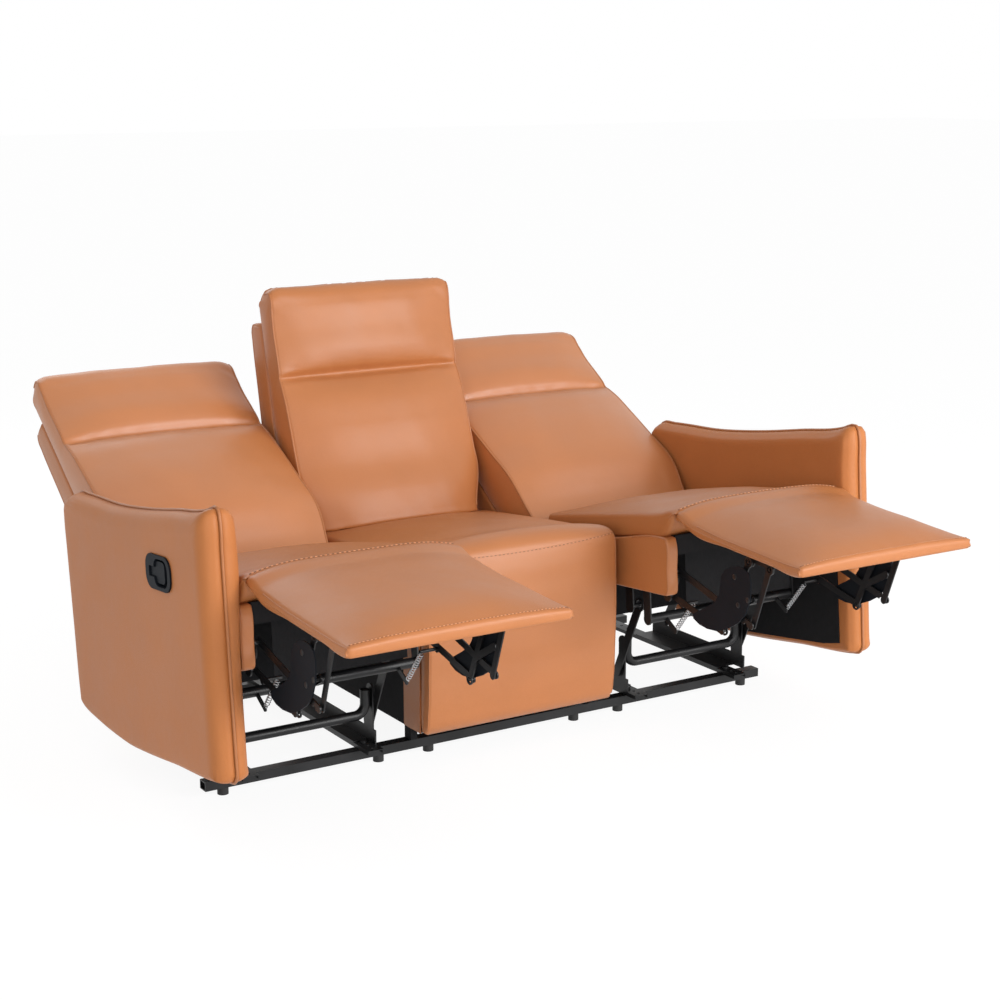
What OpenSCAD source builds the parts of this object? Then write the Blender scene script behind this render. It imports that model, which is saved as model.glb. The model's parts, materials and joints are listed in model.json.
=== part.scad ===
// Three-seat reclining sofa with both end seats opened: footrests out, backs reclined, seats swung forward.
// X runs across the sofa, Y from front to rear, Z up. Every end seat is drawn closed, round its own middle,
// and is then moved to its open place.

/* [Seats] */
// Gap between the backs of two neighbouring seats
row_gap = 18; // [16:1:40]
// Width of the middle seat's box and back
middle_w = 536; // [500:1:540]
// Width of an end seat over its side panels
end_seat_w = 524; // [516:1:528]
// Height of the seat's front edge when the seat is closed
seat_h = 497; // [490:1:510]
// Fall of the seat towards the back, in degrees
seat_fall = 6.3; // [4:0.1:7]
// Place of the rear end of a seat cushion, behind the front feet
seat_rear_y = 505; // [480:1:508]
// Height of a seat cushion at its sides
cushion_edge_h = 56; // [50:1:60]
// Rise of a seat cushion in its middle
cushion_crown = 28; // [10:1:34]
// How far a cushion's ends are drawn in
draw_in = 8; // [2:1:12]
// Thickness of an upholstered side panel
side_panel_t = 31; // [26:1:31]
// Height of an end seat's side panel at its front
side_panel_h = 146; // [110:1:160]

/* [Backs] */
// Width of an end seat's back
back_w = 540; // [500:1:544]
// Lean of a closed back, in degrees
back_lean = 13.4; // [10:0.1:15]
// Recline of an opened back, in degrees
back_recline = 36.9; // [20:0.1:37]
// Length of a back cushion above the seat
back_h = 676; // [660:1:720]
// Place of the seam between headrest and lower back, along the back
headrest_seam = 446; // [430:1:460]
// Depth of a back cushion's side
back_side_d = 85; // [70:1:86]
// Forward bulge of a back cushion's middle
back_crown = 45; // [10:1:50]
// Length of the rear shell above the seat
shell_h = 605; // [560:1:640]
// Depth of the rear shell at its top
shell_d = 59; // [40:1:62]
// Radius of a back's round lower end
drum_r = 126; // [120:1:127]

/* [Arms] */
// Gap between the seat and the arm's inner liner
arm_gap = 11; // [9:1:14]
// Width of the inner half of an arm
arm_inner_w = 35; // [30:1:45]
// Width of the outer half of an arm
arm_outer_w = 45; // [40:1:55]
// Thickness of the wooden core of an arm
arm_core_t = 51; // [40:1:54]
// Length of the release bezel
bezel_l = 135; // [130:1:140]
// Height of the release bezel
bezel_h = 77; // [74:1:90]

/* [Footrests] */
// Width of a footrest pad
pad_w = 517; // [500:1:518]
// Length of a footrest board
board_l = 392; // [385:1:400]
// Thickness of a footrest board
board_t = 12; // [10:1:14]
// Bulge of a footrest pad in its middle
pad_crown = 45; // [20:1:45]
// Turn of a footrest between closed and open, in degrees
footrest_turn = 82.1; // [70:0.1:82.1]

/* [Swing mechanism] */
// Length of a swing link between its pivots
swing_l = 220; // [219:0.1:221]
// Forward lean of the rear swing link when the seat is open, in degrees
swing_open = 30.2; // [29:0.1:31]
// Rearward lean of the rear swing link at the place where the seat is drawn, in degrees
swing_closed = 44.6; // [44:0.1:45]
// Tilt of an opened seat, in degrees
seat_tilt = 5; // [4.5:0.1:5.5]
// Thickness of the steel links
steel_t = 3.4; // [3:0.1:3.6]
// Gap between a seat's steel plates and its side panels
plate_gap = 3; // [2:0.5:4]
// Width of a footrest link
link_w = 18; // [16:1:19]

/* [Floor base] */
// Length of the front and rear floor rails
rail_l = 1600; // [1560:1:1640]
// Distance between the two floor rails
rail_gap = 600; // [590:1:615]
// Width of a floor rail
rail_w = 30; // [26:1:34]
// Height of a floor rail
rail_h = 22; // [18:1:24]
// Height of a glide foot
foot_h = 18; // [12:1:22]
// Diameter of a glide foot
foot_d = 26; // [20:1:28]

/* [Hidden] */
$fn = 40;

// Clearances: between faces that only lie together, of a turning pin, and of an open pivot
seat_gap = 0.3;
pin_play = 0.05;
short_play = 3.5;
long_play = 5.6;
pin_r = 5;
small_pin_r = 4;
swing_pin_r = 6;

// Layers of steel, from the middle of a seat outwards
layer = 4;
panel_x = end_seat_w / 2 - side_panel_t;
plate_x = panel_x - plate_gap - layer;
link_x = plate_x - 7 * layer;
tower_t = 4;
tower_x = link_x - 2 * layer;
tip_x = link_x + layer;
cross_x = link_x + 2 * layer;
long_x = link_x + 3 * layer;
short_x = link_x + 4 * layer;
guard_x = link_x + 5 * layer;
bracket_t = 4;
bracket_x = plate_x - bracket_t - 0.7;
spring_x = link_x - 20;

// Floor base
floor_z = foot_h;
rail_top = floor_z + rail_h;
side_rail_w = 40;
side_rail_h = 10;
side_rail_top = rail_top + side_rail_h;
side_rail_front = -56;
wall = 2.5;
inner_rail_x = tower_x - 17;
outer_rail_x = tower_x - 39;
feet_x = [212, 349, 751];

// Pivots on the base, in Y and Z
rear_base = [344, 80];
front_base = [17.8, 97.9];
low_tube = [5, 120];
tube_r = 12;

// Pivots on a closed seat, in Y and Z
rear_seat = polar(rear_base, swing_l, 90 - swing_closed);
front_seat = [188.5, 236.6];
back_pivot = [641, 304.5];
upper_tube = [115, 215];
spring_hook = [71, 185];
hook_w = 14;

// Footrest links of an open footrest: pivots on the seat, lengths, and directions in degrees
short_pivot = [29.6, 287.6];
long_pivot = [3.4, 350.3];
long_a = 205.9;
long_b = 77.7;
cross_a = 139.5;
cross_b = 61.5;
tip_l = 152.25;
long_dir = -160.5;
cross_dir = 118.85;
tip_dir = 114.51;
cross_pivot = polar(long_pivot, long_a, long_dir);
tip_pivot = polar(long_pivot, long_a + long_b, long_dir);
upper_open = polar(cross_pivot, cross_a, cross_dir);
lower_open = polar(cross_pivot, -cross_b, cross_dir);
tip_open = polar(tip_pivot, tip_l, tip_dir);
spring_pin = [-10, 269];

// Turns of the two links that hang from the seat, between open and closed
long_turn = 84.24;
short_turn = 85.56;

// Footrest, closed: hinge, board and bracket pivots
foot_pivot = [-57.2, 491.4];
board_y = -30;
board_top = 440;
bracket_off = 32;
upper_drop = 159.6;
tip_drop = 229.3;
board_w = pad_w - 27;
pad_wrap = 6;
roll_r = 16;
roll_crown = 14;

// Places that follow from the sizes above
end_half = end_seat_w / 2;
back_half = back_w / 2;
middle_half = middle_w / 2;
box_gap = 26;
seat_pitch = middle_half + max(back_half + row_gap, end_half + box_gap);
seat_line_y = -20;
back_foot = [546, 392];
back_pivot_n = across_back(back_pivot);
back_pivot_t = along_back(back_pivot);
rear_open = polar(rear_base, swing_l, 90 + swing_open);
liner_t = 3;
back_arm_gap = 3;
arm_x = max(end_half + arm_gap, back_half + back_arm_gap) + liner_t;
welt_x = arm_x + arm_inner_w;
arm_end_x = welt_x + arm_outer_w;
core_x = welt_x - 21;
core_wall = 45;

function polar(p, r, a) = [p[0] + r * cos(a), p[1] + r * sin(a)];
function turn(p, c, a) = [c[0] + (p[0] - c[0]) * cos(a) - (p[1] - c[1]) * sin(a),
                          c[1] + (p[0] - c[0]) * sin(a) + (p[1] - c[1]) * cos(a)];

// Height of a seat's top edge line, of the deck under it, and of the crowned top
function edge_z(y) = seat_h - tan(seat_fall) * (y - seat_line_y);
function deck_z(y) = edge_z(y) - cushion_edge_h;
function crown_along(y) = y < 60 ? 0.35 + 0.5 * max(0, y + 60) / 120
    : y < 400 ? 0.85 + 0.15 * sin(180 * (y - 60) / 340)
    : 0.85 - 0.75 * (y - 400) / (seat_rear_y - 400);
function seat_z(u, y) = edge_z(y) + cushion_crown * (1 - u * u) * crown_along(y);

// A point of a closed back, t along it and n behind its front seam, and the two ways back
function back_point(t, n) = [back_foot[0] + t * sin(back_lean) + n * cos(back_lean),
                             back_foot[1] + t * cos(back_lean) - n * sin(back_lean)];
function along_back(p) = (p[0] - back_foot[0]) * sin(back_lean) + (p[1] - back_foot[1]) * cos(back_lean);
function across_back(p) = (p[0] - back_foot[0]) * cos(back_lean) - (p[1] - back_foot[1]) * sin(back_lean);

// Where points of a closed end seat, its footrest and its back lie once they are open
function seat_place(p) = turn([p[0] - rear_seat[0] + rear_open[0], p[1] - rear_seat[1] + rear_open[1]],
    rear_open, -seat_tilt);
function foot_place(p) = seat_place(turn(p, foot_pivot, -footrest_turn));
function back_place(p) = seat_place(turn(p, back_pivot, -back_recline));

// Solid through a row of rings with equally many points, closed at both ends round a middle point
module loft(rings) {
    n = len(rings[0]);
    last = len(rings) - 1;
    points = [each [for (ring = rings) each ring], middle(rings[0]), middle(rings[last])];
    sides = [for (k = [0:last - 1], i = [0:n - 1])
        let (a = k * n + i, b = k * n + (i + 1) % n) each [[a, b, b + n], [a, b + n, a + n]]];
    first_end = [for (i = [0:n - 1]) [(i + 1) % n, i, (last + 1) * n]];
    last_end = [for (i = [0:n - 1]) [last * n + i, last * n + (i + 1) % n, (last + 1) * n + 1]];
    polyhedron(points, [each sides, each first_end, each last_end]);
}
function middle(ring) = [for (i = [0:2]) (min([for (p = ring) p[i]]) + max([for (p = ring) p[i]])) / 2];

// Stations across a cushion and how far the ring at each is drawn in
function stations(half) = [for (x = [-half, 6 - half, 30 - half, -half * 0.5, 0, half * 0.5, half - 30,
    half - 6, half]) x];
function drawn(x, half) = abs(x) > half - 1 ? draw_in : abs(x) > half - 8 ? draw_in * 0.3 : 0;
// An outline in Y and Z drawn in towards its middle, as a ring at x
function ring_at(x, outline, inset) =
    let (ys = [for (p = outline) p[0]], zs = [for (p = outline) p[1]],
         cy = (min(ys) + max(ys)) / 2, cz = (min(zs) + max(zs)) / 2,
         ky = 1 - 2 * inset / (max(ys) - min(ys)), kz = 1 - 2 * inset / (max(zs) - min(zs)))
    [for (p = outline) [x, cy + (p[0] - cy) * ky, cz + (p[1] - cz) * kz]];

// Draws what is given in Y and Z as a plate across X, on one side or on both sides of a seat
module plate(x, t) {
    translate([x, 0, 0]) rotate([90, 0, 90]) linear_extrude(t) children();
}
module plates(x, t) {
    plate(x, t) children();
    mirror([1, 0, 0]) plate(x, t) children();
}
// A flat bar with round ends that are a little wider than its shank, and a disc, both in Y and Z
module bar(p, q, w) {
    shank = 0.92 * w;
    translate(p) circle(d = w);
    translate(q) circle(d = w);
    translate(p) rotate(atan2(q[1] - p[1], q[0] - p[0])) translate([0, -shank / 2])
        square([norm([q[0] - p[0], q[1] - p[1]]), shank]);
}
module disc(p, r) {
    translate(p) circle(r);
}

// Places of a closed end seat's parts: the sofa's left side is drawn, the right side is its mirror image
module on_base(side) {
    translate([0, -row_middle, 0]) mirror([side > 0 ? 1 : 0, 0, 0]) translate([-seat_pitch, 0, 0]) children();
}
module on_seat(side) {
    on_base(side) translate([0, rear_open[0], rear_open[1]]) rotate([-seat_tilt, 0, 0])
        translate([0, -rear_seat[0], -rear_seat[1]]) children();
}
module on_back(side) {
    on_seat(side) translate([0, back_pivot[0], back_pivot[1]]) rotate([-back_recline, 0, 0])
        translate([0, -back_pivot[0], -back_pivot[1]]) children();
}
module on_footrest(side) {
    on_seat(side) translate([0, foot_pivot[0], foot_pivot[1]]) rotate([-footrest_turn, 0, 0])
        translate([0, -foot_pivot[0], -foot_pivot[1]]) children();
}
module on_floor() {
    translate([0, -row_middle, 0]) children();
}

// Floor base

module floor_rails() color("#1b1b1c") on_floor()
    for (y = [0, rail_gap]) difference() {
        translate([-rail_l / 2, y - rail_w / 2, floor_z]) cube([rail_l, rail_w, rail_h]);
        translate([-rail_l / 2 - 1, y - rail_w / 2 + wall, floor_z + wall])
            cube([rail_l + 2, rail_w - 2 * wall, rail_h - 2 * wall]);
    }

module floor_side_rails() color("#1b1b1c") on_floor()
    for (side = [-1, 1], x = [seat_pitch - inner_rail_x, seat_pitch + outer_rail_x])
        translate([side * x, 0, 0]) side_rail();

module side_rail() {
    length = rail_gap + rail_w / 2 - side_rail_front;
    bolt_r = 8;
    bolt_h = 5;
    hole_r = 4.5;
    difference() {
        translate([-side_rail_w / 2, side_rail_front, rail_top]) cube([side_rail_w, length, side_rail_h]);
        translate([-side_rail_w / 2 + wall, side_rail_front - 1, rail_top - 1])
            cube([side_rail_w - 2 * wall, length + 2, side_rail_h - wall + 1]);
        for (k = [0:5]) translate([0, 420 + 30 * k, rail_top]) cylinder(r = hole_r, h = side_rail_h + 1);
        for (k = [0:1]) translate([0, -40 + 20 * k, rail_top]) cylinder(r = hole_r, h = side_rail_h + 1);
    }
    for (y = [8, rail_gap]) translate([0, y, rail_top]) cylinder(r = bolt_r, h = side_rail_h + bolt_h);
}

module glide_feet() color("#2a2a2a") on_floor()
    for (side = [-1, 1], x = feet_x, y = [0, rail_gap])
        translate([side * x, y, 0]) cylinder(d = foot_d, h = foot_h);

module pivot_towers() color("#161617") {
    on_base(-1) seat_towers();
    on_base(1) seat_towers();
}

module seat_towers() {
    foot_front = -20;
    foot_rear = rear_base[0] + 40;
    flange_t = 3;
    flange_front = rail_w / 2 + 5;
    plates(tower_x, tower_t) {
        translate([foot_front, side_rail_top]) square([foot_rear - foot_front, 34]);
        bar(front_base, [front_base[0], side_rail_top + 20], 36);
        bar(rear_base, [rear_base[0], side_rail_top + 20], 36);
        bar([low_tube[0], side_rail_top + 20], [low_tube[0], low_tube[1] + 60], 30);
    }
    translate([inner_rail_x - side_rail_w / 2, flange_front, side_rail_top])
        cube([tower_x - inner_rail_x + side_rail_w / 2 + 1, foot_rear - flange_front, flange_t]);
    translate([-tower_x - 1, flange_front, side_rail_top])
        cube([tower_x - outer_rail_x + side_rail_w / 2 + 1, foot_rear - flange_front, flange_t]);
    plates(tower_x + tower_t, link_x - tower_x - tower_t - seat_gap) {
        disc(front_base, 9);
        disc(rear_base, 9);
    }
    plates(tower_x + tower_t, link_x - tower_x - tower_t + steel_t) {
        disc(front_base, swing_pin_r);
        disc(rear_base, swing_pin_r);
    }
}

module low_cross_tubes() color("#1b1b1c") {
    on_base(-1) low_tube_solid();
    on_base(1) low_tube_solid();
}

// A straight tube whose bent ends rise against the towers
module low_tube_solid() {
    bend = 28;
    end_x = tower_x - tube_r;
    rise = 34;
    translate([bend - end_x, low_tube[0], low_tube[1]]) rotate([0, 90, 0])
        cylinder(r = tube_r, h = 2 * (end_x - bend));
    for (m = [0, 1]) mirror([m, 0, 0]) {
        translate([end_x - bend, low_tube[0], low_tube[1] + bend]) rotate([90, 0, 0])
            rotate([0, 0, -90]) rotate_extrude(angle = 90) translate([bend, 0]) circle(tube_r);
        translate([end_x, low_tube[0], low_tube[1] + bend]) cylinder(r = tube_r, h = rise);
    }
}

// Middle seat

middle_front_y = -60;
middle_bottom_z = 71;
board_wood_t = 18;
shell_front_n = back_side_d + 3;
shell_foot_t = shell_t(73);
// Place along the back where the rear shell's front face is at height z
function shell_t(z) = (z - back_foot[1] + sin(back_lean) * shell_front_n) / cos(back_lean);

module middle_box_frame() color("#c9a877") on_floor() {
    shell_y = back_foot[0] + shell_front_n;
    rear_top = back_point(shell_t(deck_z(shell_y)) - 1, shell_front_n - seat_gap);
    rear_low = back_point(shell_foot_t - 1, shell_front_n - seat_gap);
    outline = [[middle_front_y, middle_bottom_z], [-rail_w / 2, middle_bottom_z], [-rail_w / 2, rail_top],
        [rail_w / 2, rail_top], [rail_w / 2, middle_bottom_z], [530, middle_bottom_z], [530, rail_top],
        [rail_gap + rail_w / 2, rail_top], [rail_gap + rail_w / 2, middle_bottom_z],
        rear_low, rear_top, [seat_rear_y + 2, deck_z(seat_rear_y + 2) - seat_gap],
        [middle_front_y, deck_z(middle_front_y) - seat_gap]];
    plates(middle_half - board_wood_t, board_wood_t) polygon(outline);
    plate(-middle_half + board_wood_t, middle_w - 2 * board_wood_t) {
        deck_section(middle_front_y, 24);
        deck_section(seat_rear_y - 22, 24);
        deck_strip(middle_front_y, seat_rear_y);
    }
}

// A cross rail and a sprung deck under a seat cushion, in Y and Z
module deck_section(y, t) {
    polygon([[y, deck_z(y) - 48], [y + t, deck_z(y + t) - 48], [y + t, deck_z(y + t) - seat_gap],
        [y, deck_z(y) - seat_gap]]);
}
module deck_strip(y0, y1) {
    deck_t = 10;
    polygon([[y0, deck_z(y0) - deck_t], [y1, deck_z(y1) - deck_t], [y1, deck_z(y1) - seat_gap],
        [y0, deck_z(y0) - seat_gap]]);
}

module middle_front_panel() color("#bd7d50") on_floor()
    plate(-middle_half, middle_w) polygon([[middle_front_y - 0.2, middle_bottom_z], [-80, middle_bottom_z],
        [-88, 78], [-97, 121], [-103, 220], [-105, 330], [-103, 400], [-100, deck_z(middle_front_y) - 4],
        [-94, deck_z(middle_front_y) - seat_gap], [middle_front_y - 0.2, deck_z(middle_front_y) - seat_gap]]);

// Outline of a seat cushion: front points given as place and height above the deck, then the top and the rear
function seat_outline(u, front) =
    [each [for (p = front) [p[0], min(deck_z(p[0]), deck_z(middle_front_y)) + p[1]]],
     each [for (y = [30, 110, 220, 330, 430, seat_rear_y - 25]) [y, seat_z(u, y)]],
     [seat_rear_y - 5, seat_z(u, seat_rear_y - 5) - 3],
     [seat_rear_y, seat_z(u, seat_rear_y) - 14],
     [seat_rear_y, deck_z(seat_rear_y) + 8],
     [seat_rear_y - 6, deck_z(seat_rear_y - 6)],
     [240, deck_z(240)]];

module middle_seat_cushion() color("#c4865a") on_floor()
    loft([for (x = stations(middle_half))
        let (u = x / middle_half, lift = cushion_crown * (1 - u * u))
        ring_at(x, seat_outline(u, [[middle_front_y, 0], [-82, 0], [-98, 6], [-101, 24],
            [-95, 44 + 0.2 * lift], [-80, 56 + 0.4 * lift], [-50, 60 + 0.7 * lift]]), drawn(x, middle_half))]);

// Front of a back cushion from its lower end up: along the back, behind the seam, and forward bulge
lumbar = [[205, -28, 1], [310, -12, 0.93], [headrest_seam - 46, 4, 0.62], [headrest_seam - 6, 13, 0.14],
    [headrest_seam + 6, 13, 0.14], [headrest_seam + 54, 16, 0.53], [headrest_seam + 128, 21, 0.67],
    [back_h - 41, 14, 0.5], [back_h - 11, 24, 0.22], [back_h, 48, 0.09], [back_h - 8, back_side_d - 9, 0],
    [back_h - 36, back_side_d, 0], [headrest_seam, back_side_d, 0], [205, back_side_d, 0]];
function bulged(rows, u) = [for (r = rows) back_point(r[0], r[1] - back_crown * r[2] * (1 - u * u))];

module middle_back_cushion() color("#c4865a") on_floor()
    loft([for (x = stations(middle_half))
        let (u = x / middle_half,
             front = bulged([[26, -62, 0.85], [60, -60, 0.95], [120, -50, 1.05]], u),
             foot = [for (p = front) [p[0], p[0] < seat_rear_y ? max(p[1], seat_z(u, p[0]) + 1) : p[1]]],
             rear = back_point(12, back_side_d),
             under = [[rear[0] - 4, deck_z(rear[0] - 4) + 1], [seat_rear_y + 4, deck_z(seat_rear_y + 4) + 1],
                 [seat_rear_y + 3, seat_z(u, seat_rear_y - 10) + 1],
                 [seat_rear_y - 20, seat_z(u, seat_rear_y - 20) + 1]])
        ring_at(x, [each under, each foot, each bulged(lumbar, u), rear], drawn(x, middle_half))]);

module middle_back_shell() color("#b0703f") on_floor()
    plate(-middle_half, middle_w) polygon([for (p = [[shell_foot_t, shell_front_n], [-283, 187.7],
        [headrest_seam - 30, shell_front_n + shell_d + 8], [shell_h - 16, shell_front_n + shell_d],
        [shell_h - 5, shell_front_n + shell_d - 7], [shell_h, shell_front_n + shell_d - 20],
        [shell_h, shell_front_n + 4], [shell_h - 4, shell_front_n]]) back_point(p[0], p[1])]);

// End seats

module seat_side_panels(side) color("#b0703f") on_seat(side)
    plates(panel_x, side_panel_t) {
        front = -28;
        rear = seat_rear_y + 3;
        low = deck_z(front) - side_panel_h;
        polygon([[front, low + 10], [front + 10, low], [rear, low], [rear, deck_z(rear) - seat_gap],
            [front, deck_z(front) - seat_gap]]);
    }

module seat_frame(side) color("#c9a877") on_seat(side)
    plate(-panel_x, 2 * panel_x) {
        deck_section(-14, 24);
        deck_section(seat_rear_y - 22, 24);
        deck_strip(-14, seat_rear_y);
    }

module seat_cushion(side) color("#c4865a") on_seat(side) {
    half = end_half - 4;
    loft([for (x = stations(half))
        let (u = x / half, front = foot_pivot[0] + roll_r + roll_crown * (1 - u * u) + 0.6,
             lift = cushion_crown * (1 - u * u))
        ring_at(x, seat_outline(u, [[front + 4, 1], [front, 12], [front, 42 + 0.2 * lift],
            [front + 10, 55 + 0.35 * lift]]), drawn(x, half))]);
}

module seat_plates(side) color("#161617") on_seat(side) {
    plates(plate_x, layer) {
        bar([4, 334], [300, 318], 40);
        bar([300, 318], [560, 300], 44);
        bar(short_pivot, [30, 330], 30);
        bar(long_pivot, [10, 336], 30);
        bar(front_seat, [front_seat[0], 320], 32);
        bar(rear_seat, [rear_seat[0], 300], 32);
        bar(back_pivot, [550, 302], 38);
        bar(upper_tube, [upper_tube[0], 320], 30);
    }
    plates(plate_x + layer, panel_x - plate_x - layer) for (p = [[60, 331], [300, 318], [470, 306]]) disc(p, 10);
    plates(bracket_x, plate_x - bracket_x) disc(back_pivot, swing_pin_r);
    plates(link_x, plate_x - link_x) {
        disc(front_seat, swing_pin_r);
        disc(rear_seat, swing_pin_r);
    }
    plates(short_x, plate_x - short_x) disc(short_pivot, pin_r);
    plates(long_x, plate_x - long_x) disc(long_pivot, pin_r);
}

module upper_cross_tube(side) color("#1b1b1c") on_seat(side) {
    plate(-plate_x, 2 * plate_x) disc(upper_tube, tube_r);
    plates(spring_x - 1.5, 3) bar(upper_tube, spring_hook, hook_w);
}

// Side outline of an arm
arm_outline = [[-62, 74], [-33, 71], [167, 63], [312, 54], [434, 50], [623, 66], [740, 90], [755, 100],
    [761, 215], [773, 559], [768, 592], [750, 609], [630, 609], [502, 605], [319, 613], [147, 629],
    [-14, 646], [-54, 656], [-65, 652], [-66, 620], [-66, 360]];
function inset_outline(inset) = [for (p = ring_at(0, arm_outline, inset)) [p[1], p[2]]];

module arm_core(side) color("#c9a877") on_seat(side)
    plate(-core_x - arm_core_t + seat_gap, arm_core_t - 2 * seat_gap) polygon(inset_outline(core_wall + seat_gap));

module core_pocket() {
    plate(-core_x - arm_core_t, arm_core_t) polygon(inset_outline(core_wall));
}

module arm_outer_cover(side) color("#bd7d50") on_seat(side) difference() {
    loft([for (s = [[0, 0], [0.42, 3], [0.75, 12], [0.91, 22], [1, 38]])
        ring_at(-welt_x - arm_outer_w * s[0], arm_outline, s[1])]);
    core_pocket();
    plate(-arm_end_x - 1, arm_end_x + 1 - core_x - arm_core_t) bezel_shape(seat_gap);
}

module arm_inner_cover(side) color("#bd7d50") on_seat(side) difference() {
    loft([for (s = [[1, 24], [0.77, 10], [0.45, 3], [0, 0]])
        ring_at(-welt_x + arm_inner_w * s[0], arm_outline, s[1])]);
    core_pocket();
}

module arm_liner(side) color("#1d1d1f") on_seat(side) {
    low = 112;
    top = 420;
    front = -14;
    plate(-arm_x, liner_t) polygon([[front, low], [front, top], [680, top], [680, low]]);
    plate(-arm_x + liner_t, arm_x - liner_t - end_half) {
        translate([50, 320]) square([80, 70]);
        translate([380, 320]) square([80, 50]);
    }
}

// Release handle on the arm's outer face: a bezel whose recess holds a flap on an upright pin
bezel_place = [171, 496.5];
bezel_proud = 4;
bezel_corner_r = 31;
recess_depth = 14;
recess_h = 61;
recess_from = -53;
recess_to = 21;
blade_h = 48;
blade_from = -30;
stem_h = 20;
stem_play = 1.5;
blade_play = 3.5;
flap_t = 6;
flap_pin_r = 2.5;
flap_pin_l = 36;
flap_x = arm_end_x - 3;
flap_pin_y = 42;

// A rectangle with round corners, in Y and Z, between two places along Y
module rounded(y0, y1, h, r) {
    translate([y0 + r, -h / 2]) square([y1 - y0 - 2 * r, h]);
    translate([y0, -h / 2 + r]) square([y1 - y0, h - 2 * r]);
    for (y = [y0 + r, y1 - r], z = [r - h / 2, h / 2 - r]) disc([y, z], r);
}

module bezel_shape(extra) {
    translate(bezel_place)
        rounded(-bezel_l / 2 - extra, bezel_l / 2 + extra, bezel_h + 2 * extra, bezel_corner_r + extra);
}

module release_bezel(side) color("#35373a") on_seat(side) difference() {
    back_x = core_x + arm_core_t + 0.2;
    face_x = arm_end_x + bezel_proud;
    plate(-face_x, face_x - back_x) bezel_shape(0);
    plate(-face_x - 1, recess_depth + 1) translate(bezel_place) {
        rounded(recess_from, recess_to, recess_h, 22);
        translate([0, -stem_h / 2 - stem_play]) square([flap_pin_y + 6, stem_h + 2 * stem_play]);
    }
    translate([-flap_x, bezel_place[0] + flap_pin_y, bezel_place[1] - flap_pin_l / 2 - 1])
        cylinder(r = flap_pin_r + pin_play, h = flap_pin_l + 2);
}

module release_flap(side) color("#3b3d40") on_seat(side)
    translate([-flap_x, bezel_place[0], bezel_place[1]]) {
        plate(-flap_t / 2, flap_t) {
            rounded(blade_from, recess_to - blade_play, blade_h, 12);
            translate([0, -stem_h / 2]) square([flap_pin_y, stem_h]);
        }
        translate([0, flap_pin_y, -stem_h / 2]) cylinder(r = flap_t / 2 + 0.3, h = stem_h);
        translate([0, flap_pin_y, -flap_pin_l / 2]) cylinder(r = flap_pin_r, h = flap_pin_l);
    }

// Swing links between base and seat

module rear_swing_links(side) color("#161617") on_base(side)
    plates(link_x, steel_t) difference() {
        bar(rear_base, rear_open, 30);
        disc(rear_base, swing_pin_r + pin_play);
        disc(rear_open, swing_pin_r + pin_play);
    }

module front_swing_links(side) color("#161617") on_base(side)
    plates(link_x, steel_t) difference() {
        union() {
            bar(front_base, seat_place(front_seat), 28);
            disc(seat_place(front_seat), 18);
        }
        disc(front_base, swing_pin_r + pin_play);
        disc(seat_place(front_seat), swing_pin_r + long_play);
    }

// Footrest links, drawn open in the seat's frame

module short_links(side) color("#161617") on_seat(side) {
    plates(short_x, steel_t) difference() {
        union() {
            bar(short_pivot, lower_open, link_w);
            disc(spring_pin, link_w / 2);
        }
        disc(short_pivot, pin_r + pin_play);
    }
    plates(cross_x, short_x - cross_x) disc(lower_open, small_pin_r);
    plates(spring_x - 7, short_x - spring_x + 7) disc(spring_pin, small_pin_r);
}

module long_links(side) color("#161617") on_seat(side) {
    shut_pin = turn(turn(lower_open, short_pivot, short_turn), long_pivot, -long_turn);
    plates(long_x, steel_t) difference() {
        bar(long_pivot, tip_pivot, link_w);
        disc(long_pivot, pin_r + pin_play);
        disc(shut_pin, small_pin_r + 2);
    }
    plates(cross_x, long_x - cross_x) disc(cross_pivot, pin_r);
    plates(tip_x, long_x - tip_x) disc(tip_pivot, pin_r);
}

guard_bosses = [polar(cross_pivot, 45, cross_dir + 36), polar(cross_pivot, 85, cross_dir + 36)];

module cross_links(side) color("#161617") on_seat(side) {
    plates(cross_x, steel_t) difference() {
        union() {
            bar(lower_open, upper_open, link_w);
            bar(cross_pivot, guard_bosses[1], link_w);
            disc(upper_open, 13);
            disc(lower_open, 12);
        }
        disc(cross_pivot, pin_r + pin_play);
        disc(upper_open, small_pin_r + short_play);
        disc(lower_open, small_pin_r + short_play);
    }
    plates(cross_x + steel_t, guard_x - cross_x - steel_t) for (p = guard_bosses) disc(p, 5);
}

module tip_links(side) color("#161617") on_seat(side)
    plates(tip_x, steel_t) difference() {
        union() {
            bar(tip_pivot, tip_open, link_w);
            disc(tip_open, 13);
        }
        disc(tip_pivot, pin_r + pin_play);
        disc(tip_open, small_pin_r + short_play);
    }

module link_guards(side) color("#26272a") on_seat(side) {
    plates(guard_x, steel_t) polygon([[-168, 345], [-172, 362], [-186, 378], [-208, 388], [-234, 392],
        [-258, 389], [-274, 378], [-280, 358], [-275, 318], [-256, 281], [-228, 257], [-196, 241], [-150, 226],
        [-112, 226], [-82, 232], [-60, 243], [-58, 254], [-82, 265], [-115, 280], [-145, 296], [-162, 316]]);
}

module footrest_board(side) color("#17181a") on_footrest(side)
    translate([-board_w / 2, board_y - board_t, board_top - board_l]) cube([board_w, board_t, board_l]);

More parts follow.
